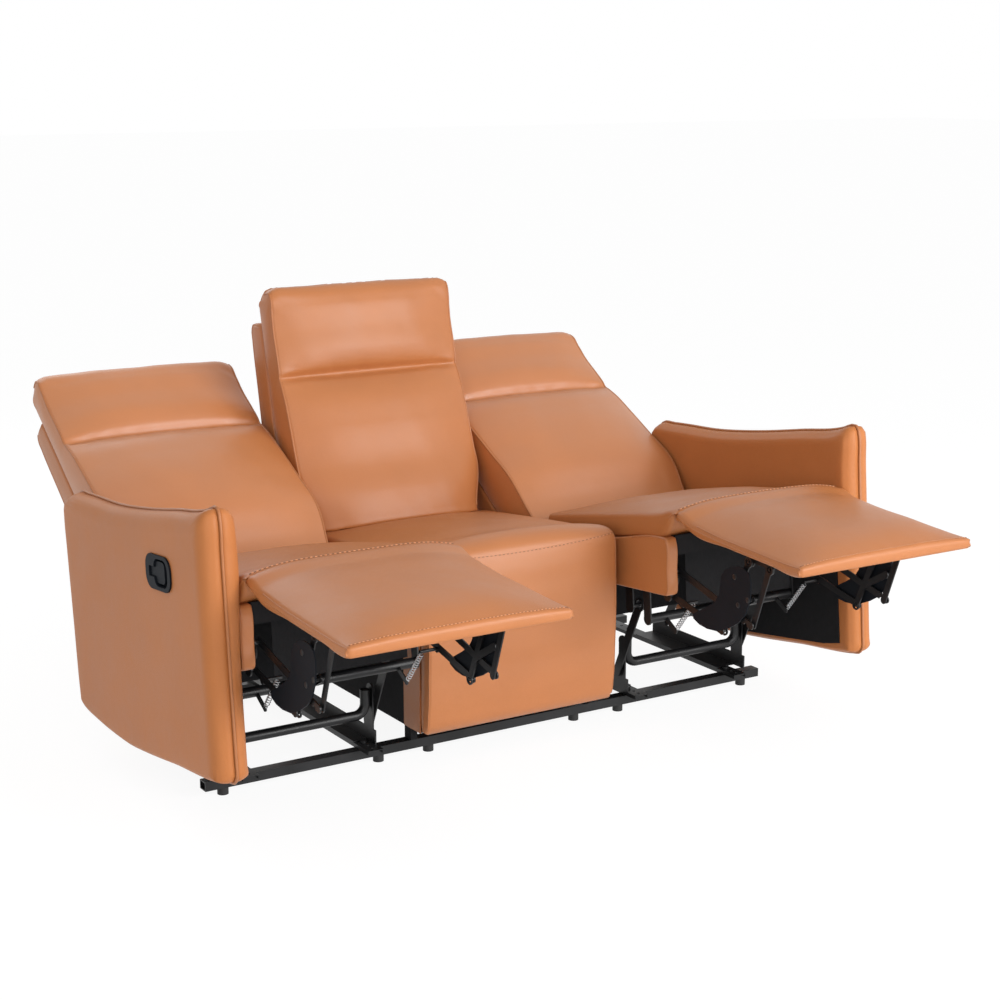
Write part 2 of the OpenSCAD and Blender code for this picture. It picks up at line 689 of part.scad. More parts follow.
module footrest_brackets(side) color("#161617") on_footrest(side) {
    upper = [board_y + bracket_off, board_top - upper_drop];
    tip = [board_y + bracket_off, board_top - tip_drop];
    plates(link_x, steel_t) {
        disc(upper, 12);
        disc(tip, 12);
        translate([board_y + 0.2, tip[1] - 12]) square([bracket_off, upper[1] - tip[1] + 24]);
    }
    plates(link_x - 22, 22 + steel_t) translate([board_y + 0.2, tip[1] - 40])
        square([3, upper[1] - tip[1] + 80]);
    plates(link_x + steel_t, cross_x - link_x) disc(upper, small_pin_r);
    plates(link_x + steel_t, tip_x - link_x) disc(tip, small_pin_r);
}

// Outline of a footrest pad: back face, round hinge roll, padded front
function pad_outline(u) =
    let (r = roll_r + roll_crown * (1 - u * u), c = pad_crown * (1 - u * u),
         front = board_y - board_t - 3, low = board_top - board_l - pad_wrap)
    [[board_y, low + 4], [board_y, low + 120], [board_y, board_top - 60], [board_y, board_top],
     [board_y - board_t - 2, board_top + 4],
     each [for (a = [-50:35:160]) polar(foot_pivot, r, a)],
     [front - 0.75 * c - 6, board_top - 22], [front - c, board_top - 112], [front - c, low + 180],
     [front - 0.9 * c, low + 60], [front - 0.45 * c, low + 14], [front + 4, low], [board_y - 4, low]];

module footrest_pad(side) color("#c4865a") on_footrest(side) difference() {
    half = pad_w / 2;
    loft([for (x = stations(half)) ring_at(x, pad_outline(x / half), drawn(x, half) * 0.4)]);
    translate([-board_w / 2 - seat_gap, board_y - board_t - seat_gap, board_top - board_l - seat_gap])
        cube([board_w + 2 * seat_gap, board_t + 20, board_l + 2 * seat_gap]);
}

// Closing springs, stretched between a pin on the short link and the hook of the upper cross tube
spring_r = 5.5;
wire_r = 1.3;
spring_curls = 12;
curl_rings = 8;
wire_sides = 6;
spring_line = [spring_hook[0] - spring_pin[0], spring_hook[1] - spring_pin[1]];
spring_span = norm(spring_line);
spring_from = small_pin_r + wire_r + seat_gap + 0.1;
spring_to = spring_span - hook_w / 2 - wire_r - seat_gap - 0.1;
function spring_point(k) =
    let (all = spring_curls * curl_rings, s = k / all, a = 360 * k / curl_rings,
         r = spring_r * min(1, 4 * k / curl_rings, 4 * (all - k) / curl_rings),
         y = spring_pin[0] + spring_line[0] * (spring_from + s * (spring_to - spring_from)) / spring_span,
         z = spring_pin[1] + spring_line[1] * (spring_from + s * (spring_to - spring_from)) / spring_span)
    [r * cos(a), y - r * sin(a) * spring_line[1] / spring_span, z + r * sin(a) * spring_line[0] / spring_span];
spring_path = [for (k = [0:spring_curls * curl_rings]) spring_point(k)];
function unit(v) = v / norm(v);
function wire_ring(k) =
    let (last = len(spring_path) - 1,
         along = unit(spring_path[min(k + 1, last)] - spring_path[max(k - 1, 0)]),
         out = unit(cross([0, spring_line[0], spring_line[1]] / spring_span, along)),
         over = cross(along, out))
    [for (i = [0:wire_sides - 1]) spring_path[k]
        + wire_r * (cos(360 * i / wire_sides) * out + sin(360 * i / wire_sides) * over)];
echo(least_spring_gap = min([for (i = [0:len(spring_path) - 1], j = [i + curl_rings / 2:len(spring_path) - 1])
    norm(spring_path[i] - spring_path[j])]) - 2 * wire_r);

module closing_springs(side) color("#c8cacc") on_seat(side)
    for (x = [-spring_x, spring_x]) translate([x, 0, 0]) loft([for (k = [0:len(spring_path) - 1]) wire_ring(k)]);

// Backs of the end seats

function drum_point(a) = back_point(back_pivot_t - drum_r * sin(a), back_pivot_n - drum_r * cos(a));
function drum_side(n) = acos((back_pivot_n - n) / drum_r);

module hinge_room() {
    plates(bracket_x - 0.5, plate_x + layer + 1 - bracket_x) disc(back_pivot, drum_r + 1);
    plates(bracket_x - 0.5, bracket_t + 1) bar(back_pivot, back_point(190, shell_front_n + 28), 37);
}

module back_cushion(side) color("#c4865a") on_back(side) difference() {
    loft([for (x = stations(back_half))
        let (u = x / back_half, low = drum_side(back_side_d))
        ring_at(x, [each [for (k = [0:4]) drum_point(low * (4 - k) / 4)],
            each bulged([[0, -26, 0.06], [40, -36, 0.26], [82, -42, 0.55]], u), each bulged(lumbar, u),
            back_point(0, back_side_d)], drawn(x, back_half))]);
    hinge_room();
}

module back_shell(side) color("#b0703f") on_back(side) difference() {
    rear_n = shell_front_n + shell_d + 14;
    low = drum_side(shell_front_n);
    last = drum_side(rear_n);
    plate(-back_half, back_w) polygon([each [for (k = [0:3]) drum_point(low + (last - low) * k / 3)],
        each [for (p = [[0, rear_n], [headrest_seam - 30, shell_front_n + shell_d + 8],
            [shell_h - 16, shell_front_n + shell_d], [shell_h - 5, shell_front_n + shell_d - 7],
            [shell_h, shell_front_n + shell_d - 20], [shell_h, shell_front_n + 4],
            [shell_h - 4, shell_front_n]]) back_point(p[0], p[1])]]);
    hinge_room();
}

module back_brackets(side) color("#161617") on_back(side)
    plates(bracket_x, bracket_t) difference() {
        bar(back_pivot, back_point(190, shell_front_n + 28), 36);
        disc(back_pivot, swing_pin_r + pin_play);
    }

// The row's own middle between the footrests' tips and the rearmost of the backs
row_front = min([for (u = [0, 0.5], p = pad_outline(u)) foot_place(p)[0]]);
row_rear = max([for (p = [[shell_h, shell_front_n + shell_d - 20], [shell_h - 5, shell_front_n + shell_d - 7],
    [shell_h - 16, shell_front_n + shell_d], [back_h, 48], [back_h - 8, back_side_d - 9]])
    back_place(back_point(p[0], p[1]))[0]]);
row_middle = (row_front + row_rear) / 2;
echo(row_front = row_front, row_rear = row_rear, row_middle = row_middle);
echo(rear_base = rear_base, rear_open = rear_open, front_base = front_base);
echo(back_pivot = seat_place(back_pivot), foot_pivot = seat_place(foot_pivot));
echo(short_pivot = seat_place(short_pivot), long_pivot = seat_place(long_pivot));
echo(cross_pivot = seat_place(cross_pivot), tip_pivot = seat_place(tip_pivot));
echo(flap = [flap_x, seat_place([bezel_place[0] + flap_pin_y, bezel_place[1]])]);

floor_rails();
floor_side_rails();
glide_feet();
pivot_towers();
low_cross_tubes();
middle_box_frame();
middle_front_panel();
middle_seat_cushion();
middle_back_cushion();
middle_back_shell();
for (end = [["_left", -1], ["_right", 1]]) {
    seat_side_panels(end[1]);
    seat_frame(end[1]);
    seat_cushion(end[1]);
    seat_plates(end[1]);
    upper_cross_tube(end[1]);
    arm_core(end[1]);
    arm_outer_cover(end[1]);
    arm_inner_cover(end[1]);
    arm_liner(end[1]);
    release_bezel(end[1]);
    release_flap(end[1]);
    rear_swing_links(end[1]);
    front_swing_links(end[1]);
    back_cushion(end[1]);
    back_shell(end[1]);
    back_brackets(end[1]);
    long_links(end[1]);
    short_links(end[1]);
    cross_links(end[1]);
    tip_links(end[1]);
    link_guards(end[1]);
    footrest_board(end[1]);
    footrest_brackets(end[1]);
    footrest_pad(end[1]);
    closing_springs(end[1]);
}
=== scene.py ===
# %% [markdown]
# # A three-seat reclining sofa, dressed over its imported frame
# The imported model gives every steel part, its place and its joints. Made here is what a plain solid can't
# show: leather that swells between its seams, piped edges, pulled seams, stitches and the finish of every
# surface. Lengths are millimetres in the frame of the drawing. One helper turns them into metres.

# %% Load the frame
import json
import math
from functools import partial

import bmesh
import bpy
import numpy as np
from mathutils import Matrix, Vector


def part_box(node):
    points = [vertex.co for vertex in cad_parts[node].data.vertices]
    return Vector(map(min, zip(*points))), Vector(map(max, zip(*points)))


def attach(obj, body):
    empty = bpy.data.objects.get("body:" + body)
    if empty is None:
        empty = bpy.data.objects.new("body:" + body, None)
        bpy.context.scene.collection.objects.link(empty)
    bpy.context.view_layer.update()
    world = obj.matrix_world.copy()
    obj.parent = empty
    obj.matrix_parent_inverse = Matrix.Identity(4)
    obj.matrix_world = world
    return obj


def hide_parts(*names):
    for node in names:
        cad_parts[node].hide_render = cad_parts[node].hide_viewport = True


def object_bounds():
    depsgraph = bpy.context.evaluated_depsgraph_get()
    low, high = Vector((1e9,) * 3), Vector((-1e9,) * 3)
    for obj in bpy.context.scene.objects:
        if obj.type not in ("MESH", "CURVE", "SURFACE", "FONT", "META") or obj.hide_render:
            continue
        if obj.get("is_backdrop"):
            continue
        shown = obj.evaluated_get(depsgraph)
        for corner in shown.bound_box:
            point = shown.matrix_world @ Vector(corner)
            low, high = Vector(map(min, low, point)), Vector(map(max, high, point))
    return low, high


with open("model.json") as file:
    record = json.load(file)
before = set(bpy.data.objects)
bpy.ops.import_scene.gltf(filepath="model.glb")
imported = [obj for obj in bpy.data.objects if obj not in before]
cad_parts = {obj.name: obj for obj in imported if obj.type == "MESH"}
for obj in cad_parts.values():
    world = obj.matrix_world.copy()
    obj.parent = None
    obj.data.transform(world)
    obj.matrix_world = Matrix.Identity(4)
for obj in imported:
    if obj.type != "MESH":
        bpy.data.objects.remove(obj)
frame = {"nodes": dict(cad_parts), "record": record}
cad_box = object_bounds()
SIDES = {"left": -1, "right": 1}


def in_scene(name, data):
    """A new object with this data, in the scene."""
    made = bpy.data.objects.new(name, data)
    bpy.context.scene.collection.objects.link(made)
    return made


# %% [markdown]
# ## Where things are
# Each end seat was drawn closed, round its own middle, and then opened: the seat swings forward on four
# links, the back reclines about one pivot and the footrest turns about another. With the same turns here,
# each cushion can be described upright, as an upholsterer would draw it. Pivots are points in Y and Z.

# %% Places and turns
SEAT_PITCH = 556.0
REAR_BASE = np.array([344.0, 80.0])
SWING = 220.0
SWING_DRAWN, SWING_OPEN = math.radians(44.6), math.radians(-30.2)
SEAT_PIVOT_DRAWN = REAR_BASE + SWING * np.array([math.sin(SWING_DRAWN), math.cos(SWING_DRAWN)])
SEAT_PIVOT_OPEN = REAR_BASE + SWING * np.array([math.sin(SWING_OPEN), math.cos(SWING_OPEN)])
SEAT_TILT = 5.0
BACK_PIVOT = np.array([641.0, 304.5])
BACK_RECLINE = 36.9
FOOT_PIVOT = np.array([-57.2, 491.4])
FOOT_TURN = 82.1
BACK_FOOT = np.array([546.0, 392.0])
BACK_LEAN = math.radians(13.4)
BACK_UP = np.array([math.sin(BACK_LEAN), math.cos(BACK_LEAN)])
BACK_REARWARD = np.array([math.cos(BACK_LEAN), -math.sin(BACK_LEAN)])
RAILS_FRONT = -15.0
ROW_SHIFT = RAILS_FRONT - 1000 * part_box("floor_rails")[0].y


def turned(yz, centre, degrees):
    """yz turned about centre: y' = cy + dy cos a - dz sin a, z' = cz + dy sin a + dz cos a."""
    a = math.radians(degrees)
    d = np.asarray(yz, float) - centre
    return centre + np.stack([d[..., 0] * math.cos(a) - d[..., 1] * math.sin(a),
                              d[..., 0] * math.sin(a) + d[..., 1] * math.cos(a)], -1)


def back_point(t, n):
    """A point t along a closed back and n behind its chord, in Y and Z."""
    t, n = (np.asarray(v, float)[..., None] for v in (t, n))
    return BACK_FOOT + t * BACK_UP + n * BACK_REARWARD


def placed(points, part, side):
    """Millimetres of the drawing to metres of the row. part is floor, seat, back or foot."""
    p = np.array(points, float)
    yz = p[..., 1:]
    if part == "back":
        yz = turned(yz, BACK_PIVOT, -BACK_RECLINE)
    if part == "foot":
        yz = turned(yz, FOOT_PIVOT, -FOOT_TURN)
    if part != "floor":
        yz = turned(yz - SEAT_PIVOT_DRAWN + SEAT_PIVOT_OPEN, SEAT_PIVOT_OPEN, -SEAT_TILT)
    p[..., 1:] = yz
    if side:
        p[..., 0] = side * (SEAT_PITCH - p[..., 0])
    p[..., 1] -= ROW_SHIFT
    return p / 1000.0


print("row shift", round(ROW_SHIFT, 3), "mm; opened seat pivot", SEAT_PIVOT_OPEN.round(1))

# %% [markdown]
# ## Camera
# The photograph looks down at the sofa from its left front. Place, direction and lens were worked out from
# the straight steel rails and the feet, whose real places are known.

# %% Camera
CAMERA_AT = (-2.4353, -3.8699 - ROW_SHIFT / 1000, 1.6234)
CAMERA_AZIMUTH = -32.109
CAMERA_PITCH = 12.683
SENSOR_WIDTH = 36.0
LENS_RATIO = 1.94584
cam_data = bpy.data.cameras.new("photo_camera")
cam_data.sensor_width = SENSOR_WIDTH
cam_data.lens = SENSOR_WIDTH * LENS_RATIO
cam_data.clip_end = 60.0
camera = in_scene("photo_camera", cam_data)
camera.location = CAMERA_AT
camera.rotation_euler = (math.radians(90 - CAMERA_PITCH), 0, math.radians(CAMERA_AZIMUTH))
bpy.context.scene.camera = camera
print("lens", round(cam_data.lens, 2), "mm")

# %% [markdown]
# ## Shader maths as Python
# A material is a small program of nodes. Wrapping a socket in a class lets a mask be written as `1 - dust *
# 0.4` instead of as linked Math nodes.

# %% Socket arithmetic
class Wire:
    """One output socket, with wire + x, x + wire, wire * x, x - wire and a smooth step."""

    def __init__(self, maker, socket):
        self.maker, self.socket = maker, socket

    def _math(self, operation, a, b):
        return self.maker.node("ShaderNodeMath", {0: a, 1: b}, operation=operation)

    def __add__(self, other):
        return self._math("ADD", self, other)

    __radd__ = __add__

    def __mul__(self, other):
        return self._math("MULTIPLY", self, other)

    def __rsub__(self, other):
        return self._math("SUBTRACT", other, self)

    def above(self, low, high):
        """0 below low, 1 above high and smooth between them."""
        return self.maker.node("ShaderNodeMapRange", {"Value": self, "From Min": low, "From Max": high},
                               interpolation_type="SMOOTHSTEP")


class Maker:
    """Makes any node in a tree. What node() gets by name are the node's settings."""

    def __init__(self, tree):
        self.tree = tree

    def put(self, socket, value):
        if isinstance(value, Wire):
            self.tree.links.new(value.socket, socket)
        else:
            socket.default_value = value

    def node(self, kind, sockets=None, out=0, **settings):
        made = self.tree.nodes.new(kind)
        for key, value in settings.items():
            setattr(made, key, value)
        for key, value in (sockets or {}).items():
            self.put(made.inputs[key], value)
        return Wire(self, made.outputs[out])


class Finish(Maker):
    """A material under construction, with the nodes that most finishes use."""

    def __init__(self, name):
        self.material = bpy.data.materials.new(name)
        self.material.use_nodes = True
        super().__init__(self.material.node_tree)
        self.shader = self.tree.nodes["Principled BSDF"]

    def coords(self, scale=None):
        where = self.node("ShaderNodeTexCoord", out="Object")
        if scale is None:
            return where
        return self.node("ShaderNodeMapping", {"Vector": where, "Scale": scale})

    def noise(self, scale, detail=3.0, roughness=0.5, where=None):
        return self.node("ShaderNodeTexNoise", {"Vector": where or self.coords(), "Scale": scale,
                                                "Detail": detail, "Roughness": roughness})

    def mix(self, factor, a, b):
        made = self.tree.nodes.new("ShaderNodeMix")
        made.data_type = "RGBA"
        self.put(made.inputs["Factor"], factor)
        for socket, value in ((made.inputs[6], a), (made.inputs[7], b)):
            self.put(socket, value if isinstance(value, Wire) else (*value, 1))
        return Wire(self, made.outputs[2])

    def bump(self, height, distance, strength, normal=None):
        sockets = {"Height": height, "Distance": distance, "Strength": strength}
        if normal is not None:
            sockets["Normal"] = normal
        return self.node("ShaderNodeBump", sockets)

    def done(self, **sockets):
        for key, value in sockets.items():
            self.put(self.shader.inputs[key.replace("_", " ")], value)
        return self.material


def linear(r, g, b):
    """sRGB from 0 to 255 as linear colour: c/12.92 below 0.04045, else ((c + 0.055) / 1.055) ^ 2.4."""
    c = np.array([r, g, b]) / 255.0
    return tuple(np.where(c <= 0.04045, c / 12.92, ((c + 0.055) / 1.055) ** 2.4).tolist())


print("mid leather", [round(v, 3) for v in linear(190, 114, 66)])

# %% [markdown]
# ## Leather
# Upholstery leather is dyed, then sealed with a thin satin coat. Three things tell the eye that it isn't
# paint: a drift of tone over a hand's width, a pebble grain of about a millimetre, and a gloss that breaks
# up with the grain. The grain is Voronoi cells with shallow valleys between them, softened by noise: a
# formula has no seams and no limit of detail, as a picture would.

# %% Leather
LEATHER = linear(186, 116, 66)


def leather(name, tone_and_painted_light=1.0, gloss=1.0):
    """One hide, lighter or darker by a scale on its colour, with a weaker or stronger coat by gloss. The
    scale is the darker colour of the seam joints and the piping, and painted light and shade on the arm,
    back, seat and pad copies.
    """
    f = Finish(name)
    drift = f.noise(2.6, 2.0).above(0.35, 0.68)
    cloud = f.noise(11.0, 3.0).above(0.3, 0.75)
    dark = tuple(c * 0.94 * tone_and_painted_light for c in LEATHER)
    light = tuple(c * 1.03 * tone_and_painted_light for c in LEATHER)
    colour = f.mix(drift * 0.6 + cloud * 0.4, dark, light)
    cells = f.node("ShaderNodeTexVoronoi", {"Vector": f.coords(), "Scale": 620.0},
                   feature="DISTANCE_TO_EDGE").above(0.0, 0.22)
    pores = f.noise(1500.0, 2.0)
    colour = f.mix((1 - cells) * 0.16, colour, tuple(c * 0.6 * tone_and_painted_light for c in LEATHER))
    soft = f.noise(38.0, 3.0)
    relief = f.bump(cells * 0.75 + pores * 0.25, 0.00014, 0.55, f.bump(soft, 0.0016, 0.35))
    return f.done(Base_Color=colour, Roughness=0.38 + cloud * 0.06 + (1 - cells) * 0.08, Normal=relief,
                  Coat_Weight=0.13 * gloss, Coat_Roughness=0.32, Specular_IOR_Level=0.47 * gloss)


LEATHER_MAIN = leather("tan_leather")
# The arm, back, seat and pad copies paint in light and shade: the arms and backs are made lighter and the
# seats and pads darker, as if lit more or less. Their coats differ as well.
LEATHER_ARM_LIT = leather("tan_leather_arm", 1.05, 0.4)
LEATHER_BACK_LIT = leather("tan_leather_back", 1.08, 1.5)
LEATHER_SEAT_SHADED = leather("tan_leather_seat", 0.93, 0.6)
LEATHER_PAD_SHADED = leather("tan_leather_pad", 0.96, 0.8)
LEATHER_PIPING = leather("tan_leather_piping", 0.9)
LEATHER_SEAM = leather("tan_leather_seam", 0.4)
print("leather materials ready")

# %% [markdown]
# ## Steel, plastic, cloth, wood and thread
# The mechanism is pressed steel under nearly black paint, a little uneven in gloss. Its cover plates and the
# release handle are matte moulded plastic with a fine spark-eroded texture. Boxes, boards and liners are
# covered in black non-woven cloth. The arms' cores, out of sight, are plain pine.

# %% Other finishes
def painted_steel():
    f = Finish("black_steel")
    patch = f.noise(9.0, 4.0).above(0.3, 0.8)
    skin = f.noise(420.0, 2.0)
    worn = f.noise(55.0, 5.0, 0.7).above(0.72, 0.8)
    colour = f.mix(patch, linear(17, 17, 18), linear(30, 30, 32))
    colour = f.mix(worn * 0.25, colour, linear(66, 66, 68))
    return f.done(Base_Color=colour, Roughness=0.34 + patch * 0.16, Normal=f.bump(skin, 0.00012, 0.4),
                  Specular_IOR_Level=0.35)


def moulded_plastic():
    f = Finish("dark_plastic")
    grain = f.noise(900.0, 2.0)
    patch = f.noise(14.0, 3.0)
    colour = f.mix(patch, linear(14, 18, 23), linear(21, 26, 33))
    return f.done(Base_Color=colour, Roughness=0.52 + grain * 0.14, Normal=f.bump(grain, 0.0001, 0.6),
                  Specular_IOR_Level=0.14)


def black_cloth():
    f = Finish("black_cloth")
    fibres = f.noise(260.0, 6.0, 0.75, f.coords((1.0, 0.25, 0.25)))
    dimples = f.node("ShaderNodeTexVoronoi", {"Vector": f.coords(), "Scale": 420.0})
    colour = f.mix(fibres, linear(17, 17, 18), linear(36, 36, 38))
    return f.done(Base_Color=colour, Roughness=0.86, Normal=f.bump(fibres + dimples * 0.5, 0.0004, 0.8),
                  Specular_IOR_Level=0.2)


def bright_steel():
    f = Finish("spring_steel")
    drawn = f.noise(300.0, 3.0)
    colour = f.mix(drawn, linear(176, 178, 180), linear(214, 215, 217))
    return f.done(Base_Color=colour, Metallic=1.0, Roughness=0.24 + drawn * 0.16)


def pine_board():
    f = Finish("frame_wood")
    rings = f.noise(4.0, 6.0, 0.5, f.coords((3.0, 24.0, 24.0)))
    colour = f.mix(rings.above(0.3, 0.7), linear(196, 158, 108), linear(226, 196, 150))
    return f.done(Base_Color=colour, Roughness=0.62, Normal=f.bump(rings, 0.0005, 0.4))


def foot_rubber():
    f = Finish("foot_rubber")
    speck = f.noise(700.0, 2.0)
    return f.done(Base_Color=f.mix(speck, linear(20, 20, 20), linear(36, 36, 36)), Roughness=0.72,
                  Normal=f.bump(speck, 0.0002, 0.5))


def sewing_thread():
    f = Finish("thread")
    twist = f.node("ShaderNodeTexWave", {"Vector": f.coords(), "Scale": 900.0}, bands_direction="DIAGONAL")
    return f.done(Base_Color=f.mix(twist, linear(196, 128, 84), linear(228, 172, 130)), Roughness=0.6,
                  Normal=f.bump(twist, 0.0001, 0.5))


STEEL, PLASTIC, CLOTH = painted_steel(), moulded_plastic(), black_cloth()
SPRING, PINE, RUBBER, THREAD = bright_steel(), pine_board(), foot_rubber(), sewing_thread()
SLOT_FINISH = {"tan_leather": LEATHER_MAIN, "black_steel": STEEL, "dark_plastic": PLASTIC,
               "black_cloth": CLOTH, "spring_steel": SPRING, "frame_wood": PINE, "foot_rubber": RUBBER}
for part in frame["record"]["subparts"]:
    mesh = frame["nodes"][part["node"]].data
    mesh.materials.clear()
    mesh.materials.append(SLOT_FINISH[part["material_slot"]])

# %% [markdown]
# ## Curves and meshes
# Every new piece is a surface over a grid. A curve is given by a few corner points, smoothed, and sampled at
# equal steps. A slab is two such curves, the padded face and the face behind it, at every place across the
# seat. Grids keep each seam on one row or column, where its piping and stitches are then laid.

# %% Curve and mesh helpers
OVERSAMPLE = 6
TUBE_SIDES, STITCH_SIDES, SEAM_COUNT = 8, 6, 160
STITCH_PLACES = np.array([0.0, 0.15, 0.5, 0.85, 1.0])
STITCH_THICKNESS = np.array([0.0, 0.85, 1.0, 0.85, 0.0])


def lengths(path):
    """How far along a path each of its points lies."""
    step = np.linalg.norm(np.diff(path, axis=0), axis=1)
    return np.concatenate([[0], np.cumsum(np.maximum(step, 1e-9))])


def at_lengths(path, wanted):
    """The points of a path at the wanted lengths along it."""
    along = lengths(path)
    return np.stack([np.interp(wanted, along, coordinate) for coordinate in path.T], -1)


def smooth_curve(points, count, tension=0.5):
    """Catmull-Rom curve: on each span, p = h00 a + h10 m + h01 b + h11 k with the cubic Hermite weights and
    slopes m, k from the neighbours. It is then sampled at count equal steps of length."""
    p = np.asarray(points, float)
    knots = lengths(p)
    slope = np.gradient(p, knots, axis=0)
    dense = np.linspace(0, knots[-1], count * OVERSAMPLE)
    k = np.clip(np.searchsorted(knots, dense, side="right") - 1, 0, len(p) - 2)
    h = (knots[k + 1] - knots[k])[:, None]
    s = ((dense - knots[k]) / h[:, 0])[:, None]
    curve = ((2 * s**3 - 3 * s**2 + 1) * p[k] + (s**3 - 2 * s**2 + s) * h * slope[k] * 2 * tension
             + (3 * s**2 - 2 * s**3) * p[k + 1] + (s**3 - s**2) * h * slope[k + 1] * 2 * tension)
    return at_lengths(curve, np.linspace(0, lengths(curve)[-1], count))


def outward(ring):
    """Unit normals of closed rings in a plane, pointing out of them: the tangent turned by a right angle."""
    after = np.roll(ring, -1, axis=-2)
    t = after - np.roll(ring, 1, axis=-2)
    n = np.stack([t[..., 1], -t[..., 0]], -1)
    n /= np.maximum(np.linalg.norm(n, axis=-1, keepdims=True), 1e-9)
    area = 0.5 * np.sum(ring[..., 0] * after[..., 1] - after[..., 0] * ring[..., 1], axis=-1)
    return n * np.sign(area)[..., None, None]


def grid_faces(rows, columns):
    """Quads between neighbouring rows of a grid whose columns close into a ring."""
    i, j = np.meshgrid(np.arange(rows - 1), np.arange(columns), indexing="ij")
    k = (j + 1) % columns
    return np.stack([i * columns + j, i * columns + k, (i + 1) * columns + k, (i + 1) * columns + j],
                    -1).reshape(-1, 4)


def add_piece(name, points, faces, finish):
    """A mesh of these points, with doubles merged and faces turned outwards by the sign of its volume."""
    points = points.reshape(-1, 3)
    a, b, c, d = (points[faces[:, i]] for i in range(4))
    volume = np.sum(np.einsum("ij,ij->i", a, np.cross(b, c)) + np.einsum("ij,ij->i", a, np.cross(c, d)))
    if volume < 0:
        faces = faces[:, ::-1]
    data = bpy.data.meshes.new(name)
    data.from_pydata(points.tolist(), [], faces.tolist())
    work = bmesh.new()
    work.from_mesh(data)
    bmesh.ops.remove_doubles(work, verts=work.verts, dist=1e-6)
    work.to_mesh(data)
    work.free()
    data.update()
    data.shade_smooth()
    data.materials.append(finish)
    piece = in_scene(name, data)
    return piece


def ring_piece(name, rings, finish):
    """A piece whose points are a grid of closed rings."""
    return add_piece(name, rings, grid_faces(*rings.shape[:2]), finish)


def circles(centre, n, b, radius, sides):
    """Points centre + r cos a * n + r sin a * b, with n and b square to the path through the centres."""
    a = np.linspace(0, 2 * np.pi, sides, endpoint=False)[:, None]
    return centre[..., None, :] + radius * (np.cos(a) * n[..., None, :] + np.sin(a) * b[..., None, :])


def tube(name, path, radius, finish, closed=False):
    """A round profile carried along a path."""
    if closed:
        t = np.roll(path, -1, axis=0) - np.roll(path, 1, axis=0)
    else:
        t = np.gradient(path, axis=0)
    t /= np.linalg.norm(t, axis=1, keepdims=True)
    n = np.cross(t, np.eye(3)[0 if abs(np.mean(t[:, 0])) < 0.6 else 2])
    n /= np.maximum(np.linalg.norm(n, axis=1, keepdims=True), 1e-9)
    rings = circles(path, n, np.cross(t, n), radius, TUBE_SIDES)
    if closed:
        rings = np.concatenate([rings, rings[:1]])
    else:
        start, end = (path[None, k:k + 1].repeat(TUBE_SIDES, 1) for k in (0, len(path) - 1))
        rings = np.concatenate([start, rings, end])
    return ring_piece(name, rings, finish)


def stitches(name, path, length, gap, thick):
    """A row of thread stitches along a path: each one is a six-sided needle shape, thick in its middle."""
    starts = np.arange(gap, lengths(path)[-1] - length, length + gap)
    centre = at_lengths(path, starts[:, None] + length * STITCH_PLACES[None])
    t = centre[:, -1:] - centre[:, :1]
    t /= np.linalg.norm(t, axis=-1, keepdims=True)
    n = np.cross(t, [0.01, 0.01, 1.01])
    n /= np.linalg.norm(n, axis=-1, keepdims=True)
    rings = circles(centre, n, np.cross(t, n), thick * STITCH_THICKNESS[:, None, None], STITCH_SIDES)
    one = grid_faces(len(STITCH_PLACES), STITCH_SIDES)
    first_points = len(STITCH_PLACES) * STITCH_SIDES * np.arange(len(starts))
    faces = (one[None] + first_points[:, None, None]).reshape(-1, 4)
    return add_piece(name, rings, faces, THREAD)


def seam(name, path, body, length=0.0078, gap=0.0036, thick=0.0012):
    """A stitched seam: the dark joint line, nearly sunk in the leather, and the thread on top of it."""
    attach(tube(f"{name}_joint", path, thick * 0.75, LEATHER_SEAM), body)
    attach(stitches(f"{name}_stitches", path, length, gap, thick), body)


def piping(name, path, part, side, radius, body, closed=False):
    """A sewn piping along a path of the drawing, riding on a body."""
    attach(tube(name, placed(path, part, side), radius, LEATHER_PIPING, closed), body)


print("a smoothed corner has", len(smooth_curve([[0, 0], [10, 0], [10, 10]], 20)), "points")

# %% [markdown]
# ## Slabs of padding
# A cushion is a crowned slab. Across the seat its face rises from the side seams, quickly at first and flat
# in the middle. At the sides the leather turns over a small radius to the boxing, whose rings shrink onto
# the line halfway between both faces. So the mesh is one closed skin.

# %% Slab builder
CAP_SHARES = (0.9, 0.72, 0.48, 0.22, 0.0)
EDGE_RING = len(CAP_SHARES) + 3
DEEPEST_INSET = 0.42


def crown(u, power=2.6):
    """Rise across a cushion, 0 at both sides and 1 in the middle: 1 - |u| ^ power."""
    return 1 - np.abs(u) ** power


def side_stations(half, radius, inner, steps):
    """Places across a slab and how far its ring lies inside the outline there: x = half - r + r sin a and
    inset = r (1 - cos a) round the edge, and no inset between the edges."""
    a = np.linspace(0, np.pi / 2, steps + 1)
    edge = np.stack([half - radius + radius * np.sin(a), radius * (1 - np.cos(a))], -1)
    middle = np.linspace(-(half - radius), half - radius, inner + 2)[1:-1]
    flat = np.stack([middle, np.zeros(inner)], -1)
    left = edge[::-1] * np.array([-1, 1])
    return np.concatenate([left, flat, edge])


def two_faces(padded, behind, count, tension=0.5):
    """The padded face and the face behind it, each smoothed through a list of runs of points."""
    return smooth_curve(np.concatenate(padded), count), smooth_curve(np.concatenate(behind), count, tension)


